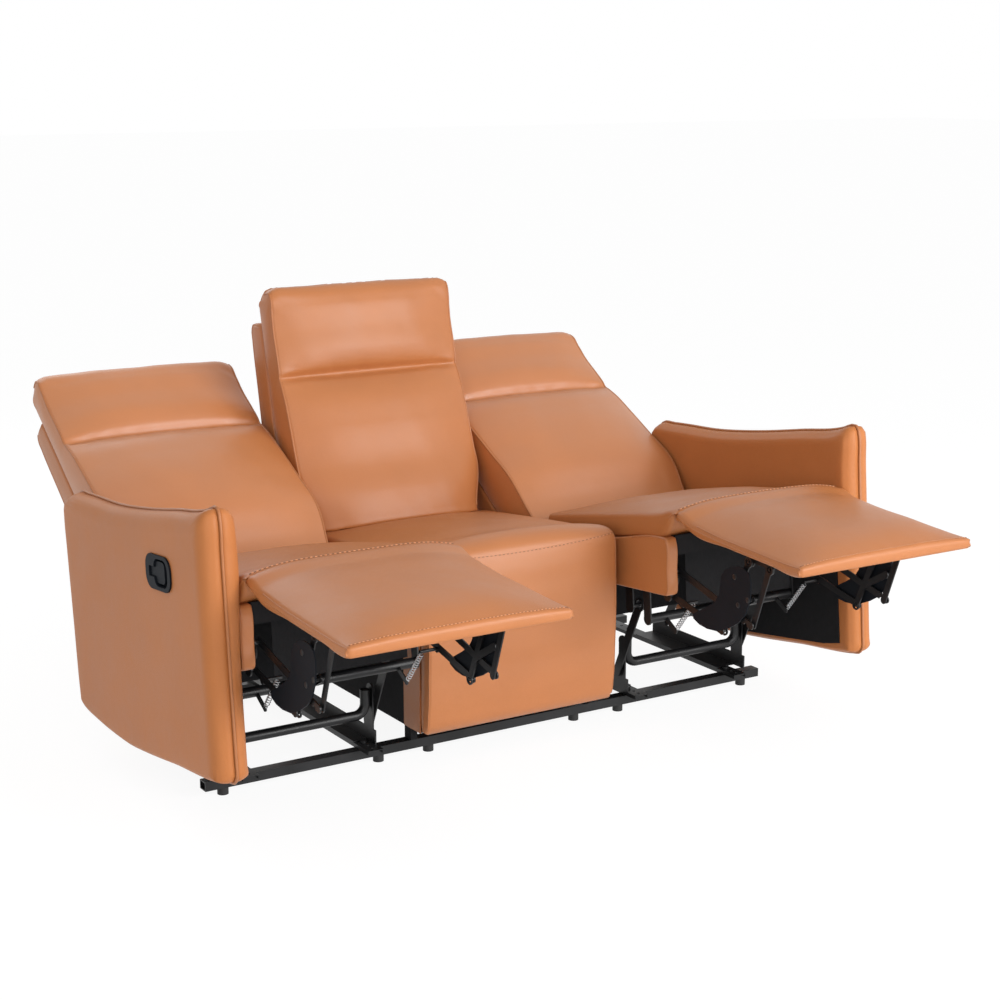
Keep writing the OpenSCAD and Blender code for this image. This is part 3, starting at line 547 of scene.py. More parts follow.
def slab_grid(half, radius, inner, faces_at, bulge, narrow=None, relief=None, steps=6):
    """Rings of a slab. faces_at(u) gives the padded face and the one behind it as rows of Y and Z points.
    narrow(s) scales x along the padded face, and relief(x, u, s, face) lifts it along its normal. The last
    rings close the sides: P = m + (P - m) r, with m halfway between the faces, while x swells by
    bulge (1 - r^2). EDGE_RING counts the rings from a side's middle to the line of its piping."""
    rings = []
    for x, inset in side_stations(half, radius, inner, steps):
        face, behind = faces_at(np.clip(x / half, -1, 1))
        ring = np.concatenate([face, behind[::-1]])
        count = len(face)
        thick = np.linalg.norm(ring - ring[::-1], axis=-1)
        ring = ring - outward(ring) * np.minimum(inset, DEEPEST_INSET * thick)[:, None]
        s = np.linspace(0, 1, count)
        if relief is not None:
            ring[:count] += outward(ring)[:count] * relief(x, x / half, s, ring[:count])[:, None]
        scale = np.ones(2 * count)
        if narrow is not None:
            scale[:count] = narrow(s)
        rings.append(np.concatenate([(x * scale)[:, None], ring], -1))
    caps = []
    for ring, sign in ((rings[0], -1), (rings[-1], 1)):
        middle = (ring + ring[::-1]) / 2
        swell = np.array([sign * bulge, 0, 0])
        caps.append([middle + (ring - middle) * r + swell * (1 - r * r) for r in CAP_SHARES])
    return np.array(caps[0][::-1] + rings + caps[1])


def cushion(name, grid, part, side, body, nodes=(), finish=LEATHER_MAIN):
    """A padded piece made from rings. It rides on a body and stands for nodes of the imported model."""
    piece = ring_piece(name, placed(grid, part, side), finish)
    if nodes:
        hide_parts(*nodes)
    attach(piece, body)


def rim(grid, low, high):
    """The line round a slab's padded face: up one side, across at the column high, down the other side."""
    return np.concatenate([grid[EDGE_RING, low:high], grid[EDGE_RING:-EDGE_RING, high],
                           grid[-1 - EDGE_RING, low:high][::-1]])


def smooth_step(v, low, high):
    """k k (3 - 2 k) with k the share of the way from low to high, between 0 and 1."""
    k = np.clip((v - low) / (high - low), 0, 1)
    return k * k * (3 - 2 * k)


def bump_at(v, centre, width):
    """A soft bump of height 1: exp(-((v - centre) / width)^2)."""
    return np.exp(-((v - centre) / width) ** 2)


def wander(x, seed, length):
    """Smooth numbers between about -1 and 1 along x, the sum of three sines with fixed odd phases."""
    return (np.sin(2 * np.pi * x / length + seed) + 0.6 * np.sin(2 * np.pi * x / (length * 0.43) + 2.3 * seed)
            + 0.35 * np.sin(2 * np.pi * x / (length * 0.21) + 4.1 * seed)) / 1.6


print("stations on a 540 mm slab", len(side_stations(270, 9, 24, 6)))

# %% [markdown]
# ## Seat levels
# A seat's top edge falls to the rear by 6.3 degrees. The cushion stands 56 mm above the deck at its sides and
# another 28 mm in its middle, most of it in the front half, where the thigh rests.

# %% Seat levels
SEAT_H, SEAT_FRONT, SEAT_REAR = 497.0, -20.0, 505.0
SEAT_SLOPE = math.tan(math.radians(6.3))
EDGE_H, SEAT_CROWN = 56.0, 28.0
RISE_END, HUMP_END = 60, 400


def edge_z(y):
    return SEAT_H - SEAT_SLOPE * (np.asarray(y, float) - SEAT_FRONT)


def deck_z(y):
    return edge_z(y) - EDGE_H


def crown_along(y):
    """Share of the crown along the seat: a rise at the front, a low hump, and a fall under the back."""
    y = np.asarray(y, float)
    front = 0.35 + 0.5 * np.maximum(0, y + RISE_END) / (2 * RISE_END)
    hump = 0.85 + 0.15 * np.sin(np.radians(180 * np.clip((y - RISE_END) / (HUMP_END - RISE_END), 0, 1)))
    rear = 0.85 - 0.75 * (y - HUMP_END) / (SEAT_REAR - HUMP_END)
    return np.where(y < RISE_END, front, np.where(y < HUMP_END, hump, rear))


def seat_z(u, y):
    return edge_z(y) + SEAT_CROWN * crown(u) * crown_along(y)


def over_deck(y, height):
    return [y, deck_z(y) + height]


def seat_top(u, first):
    """The upper line of a seat cushion, from first behind its front edge to the tail under the back."""
    y = np.array([first, 110, 220, 330, 430, 480, 498])
    tail = [[SEAT_REAR - 1, seat_z(u, 500) - 12]]
    return np.concatenate([np.stack([y, seat_z(u, y)], -1), tail])


ON_DECK = [over_deck(110, 0.5), over_deck(330, 0.5), over_deck(SEAT_REAR - 6, 1.0)]
print("deck height at the front", round(deck_z(SEAT_FRONT), 1), "mm")

# %% [markdown]
# ## Back cushions
# A back is one leather bag over foam: a headrest and a lower back, parted by a seam that is pulled in, most
# in the middle. A cloth simulation could blow it up, but would round its flat, tight panels, so formulas set
# the crown, the groove and its gathers. At its foot the corners are tucked under, and the face narrows
# there.

# %% Back cushion faces
BACK_HALF, MIDDLE_BACK_HALF = 270.0, 268.0
SEAM_AT, SIDE_D, BACK_CROWN = 446.0, 85.0, 45.0
FOOT_TUCK = 0.13
DRUM = np.array([-63.1, 112.7])
DRUM_R = 126.0
LUMBAR = [(205, -28, 1), (310, -14, 0.98), (390, -2, 0.75), (428, 8, 0.42), (446, 13, 0.24), (464, 11, 0.42),
          (500, 12, 0.68), (574, 15, 0.74), (632, 9, 0.6), (664, 7, 0.34), (679, 14, 0.16), (683, 30, 0.06),
          (680, 62, 0)]
END_FOOT = [(0, -26, 0.06), (40, -36, 0.26), (82, -42, 0.55)]
BACK_COUNT = 240
BACK_PIPING_R = 0.0033


def drum_arc(degrees):
    """Points on the round foot of an end back, at angles from the line straight down from its middle."""
    a = np.radians(degrees)
    return back_point(DRUM[0] - DRUM_R * np.sin(a), DRUM[1] - DRUM_R * np.cos(a))


def back_rows(rows, u, longer=0.0):
    """Rows of (along, behind, share of the crown) as Y and Z points at u across the back. The top corners are
    rounded: there the top is lower by 13 ((|u| - 0.88) / 0.12)^2."""
    r = np.array(rows, float)
    head = smooth_step(r[:, 0], 600, 670)
    corner = 13 * np.maximum(0, (abs(u) - 0.88) / 0.12) ** 2
    return back_point(r[:, 0] + (longer - corner) * head, r[:, 1] - BACK_CROWN * r[:, 2] * crown(u))


def end_back_faces(u):
    """The face of an end seat's back, from under its round foot up over the top, and the face behind it."""
    padded = [drum_arc(np.linspace(77.3, 0, 6)), back_rows(END_FOOT + LUMBAR, u, 8.0)]
    return two_faces(padded, [back_point([-180, -60, 205, 446, 600, 648], [SIDE_D] * 6)], BACK_COUNT)


def back_relief(seed, x, u, s, face):
    """The pulled seam with its small gathers, and the soft unevenness of foam under leather."""
    t = (face - BACK_FOOT) @ BACK_UP
    fade = np.clip((1 - abs(u)) / 0.16, 0, 1)
    off = np.abs(t - SEAM_AT)
    groove = -(6.0 * np.exp(-off / 4.5) + 4.0 * np.exp(-off / 22.0)) * fade
    near = np.exp(-off / 20.0) * fade
    gather = (1.3 * wander(x, seed, 62.0) + 0.7 * wander(x + 0.5 * (t - SEAM_AT), seed + 2, 21.0)) * near
    end_gather = 1.8 * np.sin(t / 5.5) * bump_at(t, SEAM_AT, 26) * bump_at(abs(u), 0.9, 0.07)
    corner = 1.3 * np.sin((x + t) / 7.5 + seed) * bump_at(t, 640, 34) * bump_at(abs(u), 0.93, 0.09)
    foot = 1.8 * np.sin(x / 9.0 + seed) * bump_at(t, 20, 45) * bump_at(abs(u), 0.86, 0.1)
    slow = 1.2 * wander(x + 0.4 * t, seed + 1, 410.0) * fade
    return groove + gather + end_gather + corner + foot + slow


def back_narrow(tucked, s):
    """x scale along the face: less on the tucked share at the foot, by a smooth step, and 1 above it."""
    return 1 - FOOT_TUCK * smooth_step(tucked - s, 0, tucked)


print("an end back's outline has", sum(len(line) for line in end_back_faces(0.0)), "points")

# %% [markdown]
# ## End seat backs
# Both come from one shape, mirrored, with other gathers. A piping runs up one side, over the top and down the
# other, on the ring where the leather turns over.

# %% End seat backs
for word, side in SIDES.items():
    body = f"back_{word}"
    grid = slab_grid(BACK_HALF, 10, 34, end_back_faces, 4.0, partial(back_narrow, 0.36),
                     partial(back_relief, 0.7 + side))
    cushion(f"back_pillow_{word}", grid, "back", side, body, [f"back_cushion_{word}"], LEATHER_BACK_LIT)
    piping(f"back_piping_{word}", rim(grid, 42, BACK_COUNT - 7), "back", side, BACK_PIPING_R, body)
print("end back grid", grid.shape)

# %% [markdown]
# ## Rear shells
# Behind each cushion stands a thin upholstered shell, lower than the headrest and flush with its sides. It
# is the same kind of slab, flatter and with a finer piping.

# %% Rear shells
SHELL_HALF, MIDDLE_SHELL_HALF = 269.0, 267.0
SHELL_N, SHELL_D = 88.0, 59.0
SHELL_COUNT = 90
SHELL_TOP = [(416, 155), (560, 150), (589, 147), (600, 139), (604, 126)]


def shell_faces(lowest, rear, foot):
    """The rear face from its lowest points up to the top edge, and the flat face against the cushion."""
    t, n = np.array(rear + SHELL_TOP, float).T
    flat = back_point([foot, -60, 205, 446, 560, 596], [SHELL_N + 0.4] * 6)
    return two_faces([lowest, back_point(t, n)], [flat], SHELL_COUNT)


def end_shell_faces(u):
    depths = np.array([DRUM[1] - SHELL_N, DRUM[1] - SHELL_N - SHELL_D - 14])
    first, last = np.degrees(np.arccos(depths / DRUM_R))
    return shell_faces(drum_arc(np.linspace(first, last, 7)), [(0, 161), (200, 160)], -184)


def middle_shell_faces(u):
    rear = [(-283, 187.5), (-100, 178), (120, 167), (300, 160)]
    return shell_faces(back_point([-304], [96]), rear, -300)


def rear_shell(word, faces, half, part, side, body, node):
    grid = slab_grid(half, 7, 14, faces, 1.5)
    cushion(f"rear_shell_{word}", grid, part, side, body, [node])
    piping(f"shell_piping_{word}", rim(grid, 6, SHELL_COUNT - 2), part, side, 0.0024, body)


for word, side in SIDES.items():
    rear_shell(word, end_shell_faces, SHELL_HALF, "back", side, f"back_{word}", f"back_shell_{word}")
rear_shell("middle", middle_shell_faces, MIDDLE_SHELL_HALF, "floor", 0, "base", "middle_back_shell")
print("three rear shells")

# %% [markdown]
# ## Middle back
# The middle back doesn't move. Its foot rests on the seat and swells further forward than the others.

# %% Middle back
MIDDLE_FOOT = [(26, -60, 0.85), (60, -60, 0.95), (120, -50, 1.05)]


def middle_back_faces(u):
    start = np.array([[SEAT_REAR - 12, seat_z(u, SEAT_REAR - 12) + 2.0]])
    front = back_rows(MIDDLE_FOOT, u)
    y, z = front.T
    front[:, 1] = np.where(y < SEAT_REAR, np.maximum(z, seat_z(u, y) + 3), z)
    low = back_point(12, SIDE_D)[0]
    foot = [over_deck(SEAT_REAR + 5, 2.0), [low - 8, deck_z(low) + 3.0]]
    flat = back_point([40, 205, 446, 600, 648], [SIDE_D] * 5)
    return two_faces([start, front, back_rows(LUMBAR, u)], [foot, flat], BACK_COUNT)


grid = slab_grid(MIDDLE_BACK_HALF, 10, 34, middle_back_faces, 4.0, partial(back_narrow, 0.22),
                 partial(back_relief, 2.1))
cushion("back_pillow_middle", grid, "floor", 0, "base", ["middle_back_cushion"])
piping("back_piping_middle", rim(grid, 6, BACK_COUNT - 7), "floor", 0, BACK_PIPING_R, "base")
print("middle back grid", grid.shape)

# %% [markdown]
# ## Seat cushions
# The end seats' cushions lie between low upholstered panels. In front they end in a thin tongue on top of
# the footrest's roll. The tongue and the roll turn about one axis, so the leather stays closed while the
# joint moves.

# %% End seat cushions
SEAT_HALF = 258.0
ROLL_R, ROLL_CROWN = 8.0, 22.0


def on_roll(u, degrees, lift):
    """A point on the footrest's hinge roll: angle from the rear over the top, and height over the leather."""
    r = ROLL_R + ROLL_CROWN * crown(u, 4.0) + lift
    a = math.radians(degrees)
    return [FOOT_PIVOT[0] + r * math.cos(a), FOOT_PIVOT[1] + r * math.sin(a)]


def end_seat_faces(u):
    """The seat's leather starts as a thin tongue on top of the roll and widens to the full cushion."""
    front = FOOT_PIVOT[0] + 17.2 + 14.0 * crown(u, 5.0)
    z0 = deck_z(front)
    tip = [on_roll(u, 99, 1.6), on_roll(u, 88, 2.6), on_roll(u, 70, 4.5)]
    under = [on_roll(u, 99, 0.8), on_roll(u, 75, 1.0), on_roll(u, 45, 1.0), on_roll(u, 15, 1.0)]
    nose = [[front + 12, z0 + 15], [front + 26, z0 + 2]]
    return two_faces([tip, seat_top(u, 26)], [under, nose, ON_DECK], 120)


def seat_relief(seed, x, u, s, face):
    """Slow unevenness of the padding, and a shallow hollow where people sit."""
    inside = np.clip((1 - abs(u)) / 0.3, 0, 1)
    hollow = 2.0 * bump_at(face[:, 0], 260, 110) * bump_at(u, 0, 0.5)
    return (1.5 * wander(x + 0.6 * face[:, 0], seed, 380.0) - hollow) * inside * bump_at(s, 0.5, 0.42)


for word, side in SIDES.items():
    body = f"seat_{word}"
    grid = slab_grid(SEAT_HALF, 12, 28, end_seat_faces, 2.0, relief=partial(seat_relief, 1.3 * side))
    cushion(f"seat_pad_{word}", grid, "seat", side, body, [f"seat_cushion_{word}"], LEATHER_SEAT_SHADED)
    line = smooth_curve(grid[EDGE_RING + 3:-EDGE_RING - 3, 2] + np.array([0, 0, 0.9]), SEAM_COUNT)
    seam(f"hinge_seam_{word}", placed(line, "seat", side), body)
print("end seat grid", grid.shape)

# %% [markdown]
# ## Middle seat
# The middle seat's leather runs in one piece from under the back, over a rounded front edge, down to the
# floor rails. One slab whose outline turns that corner has no joint to hide.

# %% Middle seat
MIDDLE_HALF = 268.0
MIDDLE_FRONT = -60.0
DROOP_AT, DROOP = 498, 11


def middle_seat_faces(u):
    rise = SEAT_CROWN * crown(u)
    z0 = deck_z(MIDDLE_FRONT)
    full = 6.0 * crown(u)
    skirt = [[-82, 72], [-90 - 0.3 * full, 84], [-98 - 0.6 * full, 125], [-103 - full, 220],
             [-105 - full, 330], [-103 - 0.8 * full, 400], [-101 - 0.5 * full, z0 + 12]]
    nose = [[-99, z0 + 34 + 0.1 * rise], [-92, z0 + 49 + 0.25 * rise], [-76, z0 + 58.5 + 0.45 * rise],
            [-48, z0 + 61.5 + 0.7 * rise]]
    inner = [[-66, 72.5], [-61, 84], [-60.6, 220], [-60.6, 380], [-60.4, z0 - 14], [-54, z0 + 0.6]]
    return two_faces([skirt, nose, seat_top(u, 30)], [inner, ON_DECK], 190, 0.2)


def middle_relief(x, u, s, face):
    inside = np.clip((1 - abs(u)) / 0.25, 0, 1)
    top = 1.5 * wander(x + 0.6 * face[:, 0], 3.1, 390.0) * bump_at(s, 0.72, 0.2)
    skirt = 1.1 * wander(face[:, 1], 0.4, 300) * bump_at(s, 0.22, 0.16)
    return inside * (top + skirt)


grid = slab_grid(MIDDLE_HALF, 9, 30, middle_seat_faces, 2.0, relief=middle_relief)
cushion("middle_seat_cover", grid, "floor", 0, "base", ["middle_seat_cushion", "middle_front_panel"])
print("middle seat grid", grid.shape)

# %% [markdown]
# ## Middle seat piping and stitches
# A drooping row of stitches crosses the leather just below the edge. On each row of the grid the place with
# the wanted height is found, so the thread lies on the surface.

# %% Middle seat piping and stitches
for word, row in (("left", EDGE_RING), ("right", -1 - EDGE_RING)):
    piping(f"middle_seam_{word}", grid[row, 3:120], "floor", 0, 0.0018, "base")
line = []
for ring in grid[EDGE_RING + 1:-EDGE_RING - 1]:
    front = ring[:120]
    height = DROOP_AT - DROOP * (1 - (ring[0, 0] / MIDDLE_HALF) ** 2)
    j = int(np.argmax(front[:, 2] > height))
    a, b = front[j - 1], front[j]
    s = np.clip((height - a[2]) / (b[2] - a[2]), 0, 1)
    line.append(a + (b - a) * s + np.array([0, -0.8, 0.3]))
path = placed(smooth_curve(np.array(line), SEAM_COUNT), "floor", 0)
seam("middle_seat", path, "base", thick=0.0009)
print("stitch line from", path[0].round(3), "to", path[-1].round(3))

# %% [markdown]
# ## Footrests
# A footrest is a flat pad wrapped round a board. Its upper end rolls over the hinge and carries on the line
# of the seat. The far end is a firm edge with a seam just below it.

# %% Footrest pads
PAD_HALF = 258.5
BOARD_Y, BOARD_TOP, BOARD_L, BOARD_T = -30.0, 440.0, 392.0, 12.0
PAD_LOW = BOARD_TOP - BOARD_L - 6
FIRM_EDGE = PAD_LOW + 9
PAD_ROWS = np.array([(13, 0.75, BOARD_TOP - 10), (9, 0.93, BOARD_TOP - 60), (6, 1, BOARD_TOP - 130),
                     (6, 1, PAD_LOW + 180), (6, 0.93, PAD_LOW + 105), (7, 0.68, PAD_LOW + 52),
                     (9, 0.4, PAD_LOW + 24), (10, 0.24, PAD_LOW + 11), (9.5, 0.18, PAD_LOW + 6),
                     (7, 0.1, PAD_LOW + 1.5), (2, 0, PAD_LOW + 0.3), (-6, 0, PAD_LOW + 0.5)])


def pad_faces(u):
    """From under the roll, over it and along the padded side to the firm edge, and the side on the board.
    PAD_ROWS holds depth before the board, share of the crown and height."""
    c = 40.0 * crown(u, 3.2)
    front = BOARD_Y - BOARD_T - 3
    roll = [on_roll(u, a, 0) for a in (-38, 0, 38, 76, 114, 150)]
    depth, share, z = PAD_ROWS.T
    padded = np.stack([front - depth - share * c, z], -1)
    behind = [[BOARD_Y - 5, BOARD_TOP + 6], [BOARD_Y - 1, BOARD_TOP - 8], [BOARD_Y, 300], [BOARD_Y, 150],
              [BOARD_Y, PAD_LOW + 12], [BOARD_Y - 3, PAD_LOW + 2]]
    return two_faces([roll, padded], [behind], 150)


def pad_relief(seed, x, u, s, face):
    """Low waves of the padding and small pulls along the firm far edge."""
    inside = np.clip((1 - abs(u)) / 0.2, 0, 1)
    pulls = 0.8 * wander(x, seed, 45.0) * bump_at(face[:, 1], PAD_LOW + 18, 16)
    return inside * (1.2 * wander(x + 0.7 * face[:, 1], seed, 360.0) * bump_at(s, 0.6, 0.3) + pulls)


for word, side in SIDES.items():
    body = f"footrest_{word}"
    grid = slab_grid(PAD_HALF, 11, 30, pad_faces, 1.0, relief=partial(pad_relief, 0.9 + side))
    cushion(f"footrest_cushion_{word}", grid, "foot", side, body,
            [f"footrest_pad_{word}", f"footrest_board_{word}"], LEATHER_PAD_SHADED)
    edge = int(np.argmin(np.abs(grid[len(grid) // 2, 60:150, 2] - FIRM_EDGE))) + 60
    path = placed(grid[EDGE_RING + 2:-EDGE_RING - 2, edge] + np.array([0, -0.8, 0]), "foot", side)
    seam(f"footrest_edge_{word}", path, body, 0.0062, 0.0026, 0.0008)
    for end, row in (("inner", EDGE_RING), ("outer", -1 - EDGE_RING)):
        piping(f"footrest_piping_{end}_{word}", grid[row, 34:146], "foot", side, 0.0016, body)
print("pad grid", grid.shape)

# %% [markdown]
# ## Arms
# Each arm is two padded halves round a wooden core, sewn together along one welt that runs over the top and
# down the front. Both are shallow domes: full size at the welt, smaller and smaller towards their face.
# Rings moved inwards from one outline give that without a modelled bevel.

# %% Arm outline
ARM_TOP = [(760, 160), (764, 300), (771, 480), (773, 556), (768, 590), (748, 608), (690, 610), (630, 609),
           (502, 605), (319, 613), (147, 629), (-14, 646), (-48, 655), (-61, 653), (-66, 636), (-66, 560),
           (-66, 360), (-66, 170)]
ARM_LOW = [(757, 130), (752, 98), (735, 88), (623, 66), (434, 50), (312, 54), (167, 63), (-28, 71), (-54, 75),
           (-65, 88), (-66, 120)]
ARM_COUNT, DOME_STEPS, OUTLINE_COUNT = 120, 16, 480
WELT_X, WELT_OUT, WELT_R = 311.0, 1.2, 0.0034
OUTER_WIDTH, INNER_WIDTH = 45.0, 35.0
OUTER_DOME = [(0, 0.0), (0.2, 0.8), (0.42, 3), (0.62, 7), (0.78, 13), (0.9, 21), (0.97, 30), (1, 40)]
INNER_DOME = [(0, 0.0), (0.22, 0.9), (0.45, 3), (0.62, 6), (0.78, 11), (0.92, 17), (1, 26)]
ARM_MIDDLE = np.array([350.0, 340.0])
BEZEL_AT = np.array([171.0, 496.5])
BEZEL_L, BEZEL_H, BEZEL_R = 135.0, 77.0, 31.0


def arm_ring():
    """The arm's outline from its rear foot over the top to its front foot, and back along the bottom."""
    return np.concatenate([smooth_curve(ARM_TOP, ARM_COUNT), smooth_curve(ARM_LOW, ARM_COUNT, 0.35)[::-1]])


def inset_ring(ring, inset, centre):
    """The ring moved inwards, without the loops that tight corners leave: on every ray from the centre to an
    old point the nearest crossing counts. A ray t d meets a segment p + w e at t = p x e / d x e, with
    w = p x d / d x e between 0 and 1, all measured from the centre."""
    moved = ring - outward(ring) * inset - centre
    e = np.roll(moved, -1, axis=0) - moved
    d = ring - centre
    d = d / np.linalg.norm(d, axis=1, keepdims=True)

    def cross(a, b):
        return a[..., 0] * b[..., 1] - a[..., 1] * b[..., 0]

    across = cross(d[:, None], e[None])
    across = np.where(np.abs(across) < 1e-12, 1e-12, across)
    t = cross(moved, e)[None] / across
    w = cross(moved[None], d[:, None]) / across
    t = np.where((w > -1e-6) & (w < 1 + 1e-6) & (t > 0), t, np.inf).min(1)
    return centre + d * t[:, None]


def dome_rings(table, width, towards, centre):
    """Rings of half an arm, from its flat back on the welt plane to its face. The table gives shares of the
    width and insets. The rear and lower edges are squarer: their inset is multiplied by 1 - 0.5 k."""
    ring = arm_ring()
    facing = outward(ring)
    k = np.maximum(smooth_step(facing[:, 0], 0.2, 0.9), smooth_step(-facing[:, 1], 0.2, 0.9))
    square = (1 - 0.5 * k)[:, None]
    rows = [(-WELT_X - towards * 0.2, centre + (ring - centre) * r) for r in (0.0, 0.5, 0.97)]
    for share, inset in smooth_curve(table, DOME_STEPS):
        rows.append((-WELT_X + towards * width * share, inset_ring(ring, inset * square, centre)))
    return rows


def toward_outline(points, centre, outline):
    """For every point, the place where the ray to it from the centre crosses an outline round that centre."""
    angle = np.arctan2(points[:, 1] - centre[1], points[:, 0] - centre[0])
    edge = np.arctan2(outline[:, 1] - centre[1], outline[:, 0] - centre[0])
    order = np.argsort(edge)
    radius = np.linalg.norm(outline - centre, axis=1)[order]
    r = np.interp(angle, edge[order], radius, period=2 * np.pi)
    return centre + r[:, None] * np.stack([np.cos(angle), np.sin(angle)], -1)


def as_grid(rows):
    """Rings of Y and Z points, each with its own X, as one grid of points."""
    return np.array([np.concatenate([np.full((len(p), 1), x), p], -1) for x, p in rows])


def round_outline(length, height, radius):
    """A rectangle with round corners about the origin, at equal steps round it."""
    a = np.linspace(0, np.pi / 2, 24)
    q = np.array([length / 2 - radius, height / 2 - radius]) + radius * np.stack([np.cos(a), np.sin(a)], -1)
    ring = np.concatenate([q, (q * [-1, 1])[::-1], q * [-1, -1], (q * [1, -1])[::-1], q[:1]])
    return at_lengths(ring, np.linspace(0, lengths(ring)[-1], OUTLINE_COUNT, endpoint=False))


def outer_arm_grid():
    """The outer half, whose face is stretched between its edge and the handle's hole. The leather then turns
    into the hole and closes behind the handle."""
    rows = dome_rings(OUTER_DOME, OUTER_WIDTH, -1, BEZEL_AT)
    x, last = rows[-1]
    hole = toward_outline(last, BEZEL_AT, round_outline(BEZEL_L - 3, BEZEL_H - 3, BEZEL_R - 1.5) + BEZEL_AT)
    rows += [(x, last + (hole - last) * w) for w in (0.06, 0.16, 0.3, 0.48, 0.66, 0.82, 0.93, 0.985)]
    rows += [(x + 1.2, hole), (x + 6, hole)]
    rows += [(x + 14, BEZEL_AT + (hole - BEZEL_AT) * w) for w in (1, 0.4, 0)]
    return as_grid(rows)


def inner_arm_grid():
    """The inner half. Its front end swells by up to 11 mm towards the seat, at the height of the seat."""
    rows = dome_rings(INNER_DOME, INNER_WIDTH, 1, ARM_MIDDLE)
    x, last = rows[-1]
    rows += [(x, ARM_MIDDLE + (last - ARM_MIDDLE) * r) for r in (0.96, 0.88, 0.75, 0.58, 0.38, 0.18, 0.0)]
    grid = as_grid(rows)
    share = np.clip((grid[..., 0] + WELT_X) / INNER_WIDTH, 0, 1)
    grid[..., 0] += 11 * share * smooth_step(-grid[..., 1], -60, 66) * bump_at(grid[..., 2], 530, 125)
    return grid


outer_grid, inner_grid = outer_arm_grid(), inner_arm_grid()
print("arm grids", outer_grid.shape, inner_grid.shape)

# %% [markdown]
# ## Two arms
# Both arms come from the same two grids. The welt is a cord of leather along the seam between the halves.

# %% Two arms
welt_line = as_grid([(-WELT_X, arm_ring() + outward(arm_ring()) * WELT_OUT)])[0]
for word, side in SIDES.items():
    body = f"seat_{word}"
    cushion(f"arm_outer_{word}", outer_grid, "seat", side, body,
            [f"arm_outer_cover_{word}", f"arm_core_{word}"], LEATHER_ARM_LIT)
    cushion(f"arm_inner_{word}", inner_grid, "seat", side, body,
            [f"arm_inner_cover_{word}"], LEATHER_ARM_LIT)
    piping(f"arm_welt_{word}", welt_line, "seat", side, WELT_R, body, closed=True)
print("arms made")

# %% [markdown]
# ## Side panels of the end seats
# A shallow box of padded leather stands at each side of an end seat, below its cushion.

# %% Seat side panels
BOX_HALF, BOX_AT = 15.5, 246.5
BOX_FRONT, BOX_REAR, BOX_HEIGHT = -21.8, 508.0, 146


def side_box_faces(u):
    front, rear = BOX_FRONT, BOX_REAR
    z0 = deck_z(front)
    low = z0 - BOX_HEIGHT
    padded = [[front + 12, low + 1], [front + 3, low + 6], [front, low + 18], [front, z0 - 90],
              [front, z0 - 14], [front + 4, z0 - 4], [front + 14, z0 - 3], over_deck(200, -1.5),
              over_deck(rear - 12, -1.5), [rear - 2, deck_z(rear) - 8]]
    behind = [[front + 30, low], [200, low], [400, low], [rear - 14, low], [rear - 2, low + 8],
              [rear, low + 30], [rear, low + 50], [rear, low + 60]]
    return two_faces([padded], [behind], 80)


for word, side in SIDES.items():
    body = f"seat_{word}"
    for where, sign, row, nodes in (("inner", 1, -7, [f"seat_side_panels_{word}"]), ("outer", -1, 6, [])):
        grid = slab_grid(BOX_HALF, 5, 3, side_box_faces, 0.5, steps=4)
        grid[..., 0] += sign * BOX_AT
        cushion(f"side_box_{where}_{word}", grid, "seat", side, body, nodes)
        piping(f"side_box_piping_{where}_{word}", grid[row, :34], "seat", side, 0.0018, body)
print("side boxes", grid.shape)

# %% [markdown]
# ## Rivets of the cover plates
# Each dark cover plate is riveted to the link behind it. The heads are low domes on the plate's outer face.

# %% Cover plate rivets
RIVETS = np.array([[-231.4, 300.7], [-267.6, 317.7], [-222.0, 366.0]])
HEAD_R, HEAD_H, HEAD_SUNK = 7.0, 1.6, 0.3


def dome_head(at, x, sign):
    """A low dome: rings of radius r cos a at the height h sin a over a plate's face, closed behind."""
    a = np.linspace(0, 2 * np.pi, 20, endpoint=False)
    circle = HEAD_R * np.stack([np.cos(a), np.sin(a)], -1)
    rows = [(x - sign * HEAD_SUNK, at + circle * r) for r in (0, 1)]
    rise = np.linspace(0, np.pi / 2, 6)
    rows += [(x + sign * HEAD_H * math.sin(b), at + circle * math.cos(b)) for b in rise]
    return as_grid(rows)


for word, side in SIDES.items():
    low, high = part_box(f"link_guards_{word}")
    plate_face = 500 * (high[0] - low[0])
    for where, sign in (("outer", -1), ("inner", 1)):
        for k, at in enumerate(RIVETS):
            head = placed(dome_head(at, sign * plate_face, sign), "seat", side)
            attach(ring_piece(f"rivet_{where}_{k}_{word}", head, STEEL), f"cross_link_{word}")
print("cover plate faces at", round(plate_face, 1), "mm from the seat's middle")

# %% [markdown]
# ## Linings
# Black cloth is stapled to the side panels, to the arms and to the backs of the footrests, and hangs from
# the front and rear rails of the end seats. The middle seat's front leather is wrapped round both sides of
# its box. Each is a thin flat sheet: the outline that it covers, and its two places across the seat.

# %% Linings and wraps
def flat_sheet(name, cut, sign, part, side, finish):
    """A thin sheet between two places on one side of a seat, closed by rings that shrink to the middle."""
    outline, x0, x1 = cut
    outline = np.array(outline, float)
    middle = outline.mean(0)
    rings = as_grid([(sign * x, middle + (outline - middle) * r)
                     for x, r in ((x0, 0), (x0, 1), (x1, 1), (x1, 0))])
    piece = ring_piece(name, placed(rings, part, side), finish)
    piece.data.shade_flat()
    return piece


def upright(y0, y1, z0, z1):
    """The outline of a thin upright sheet between y0 and y1."""
    return [(y0, z0), (y0, z1), (y1, z1), (y1, z0)]


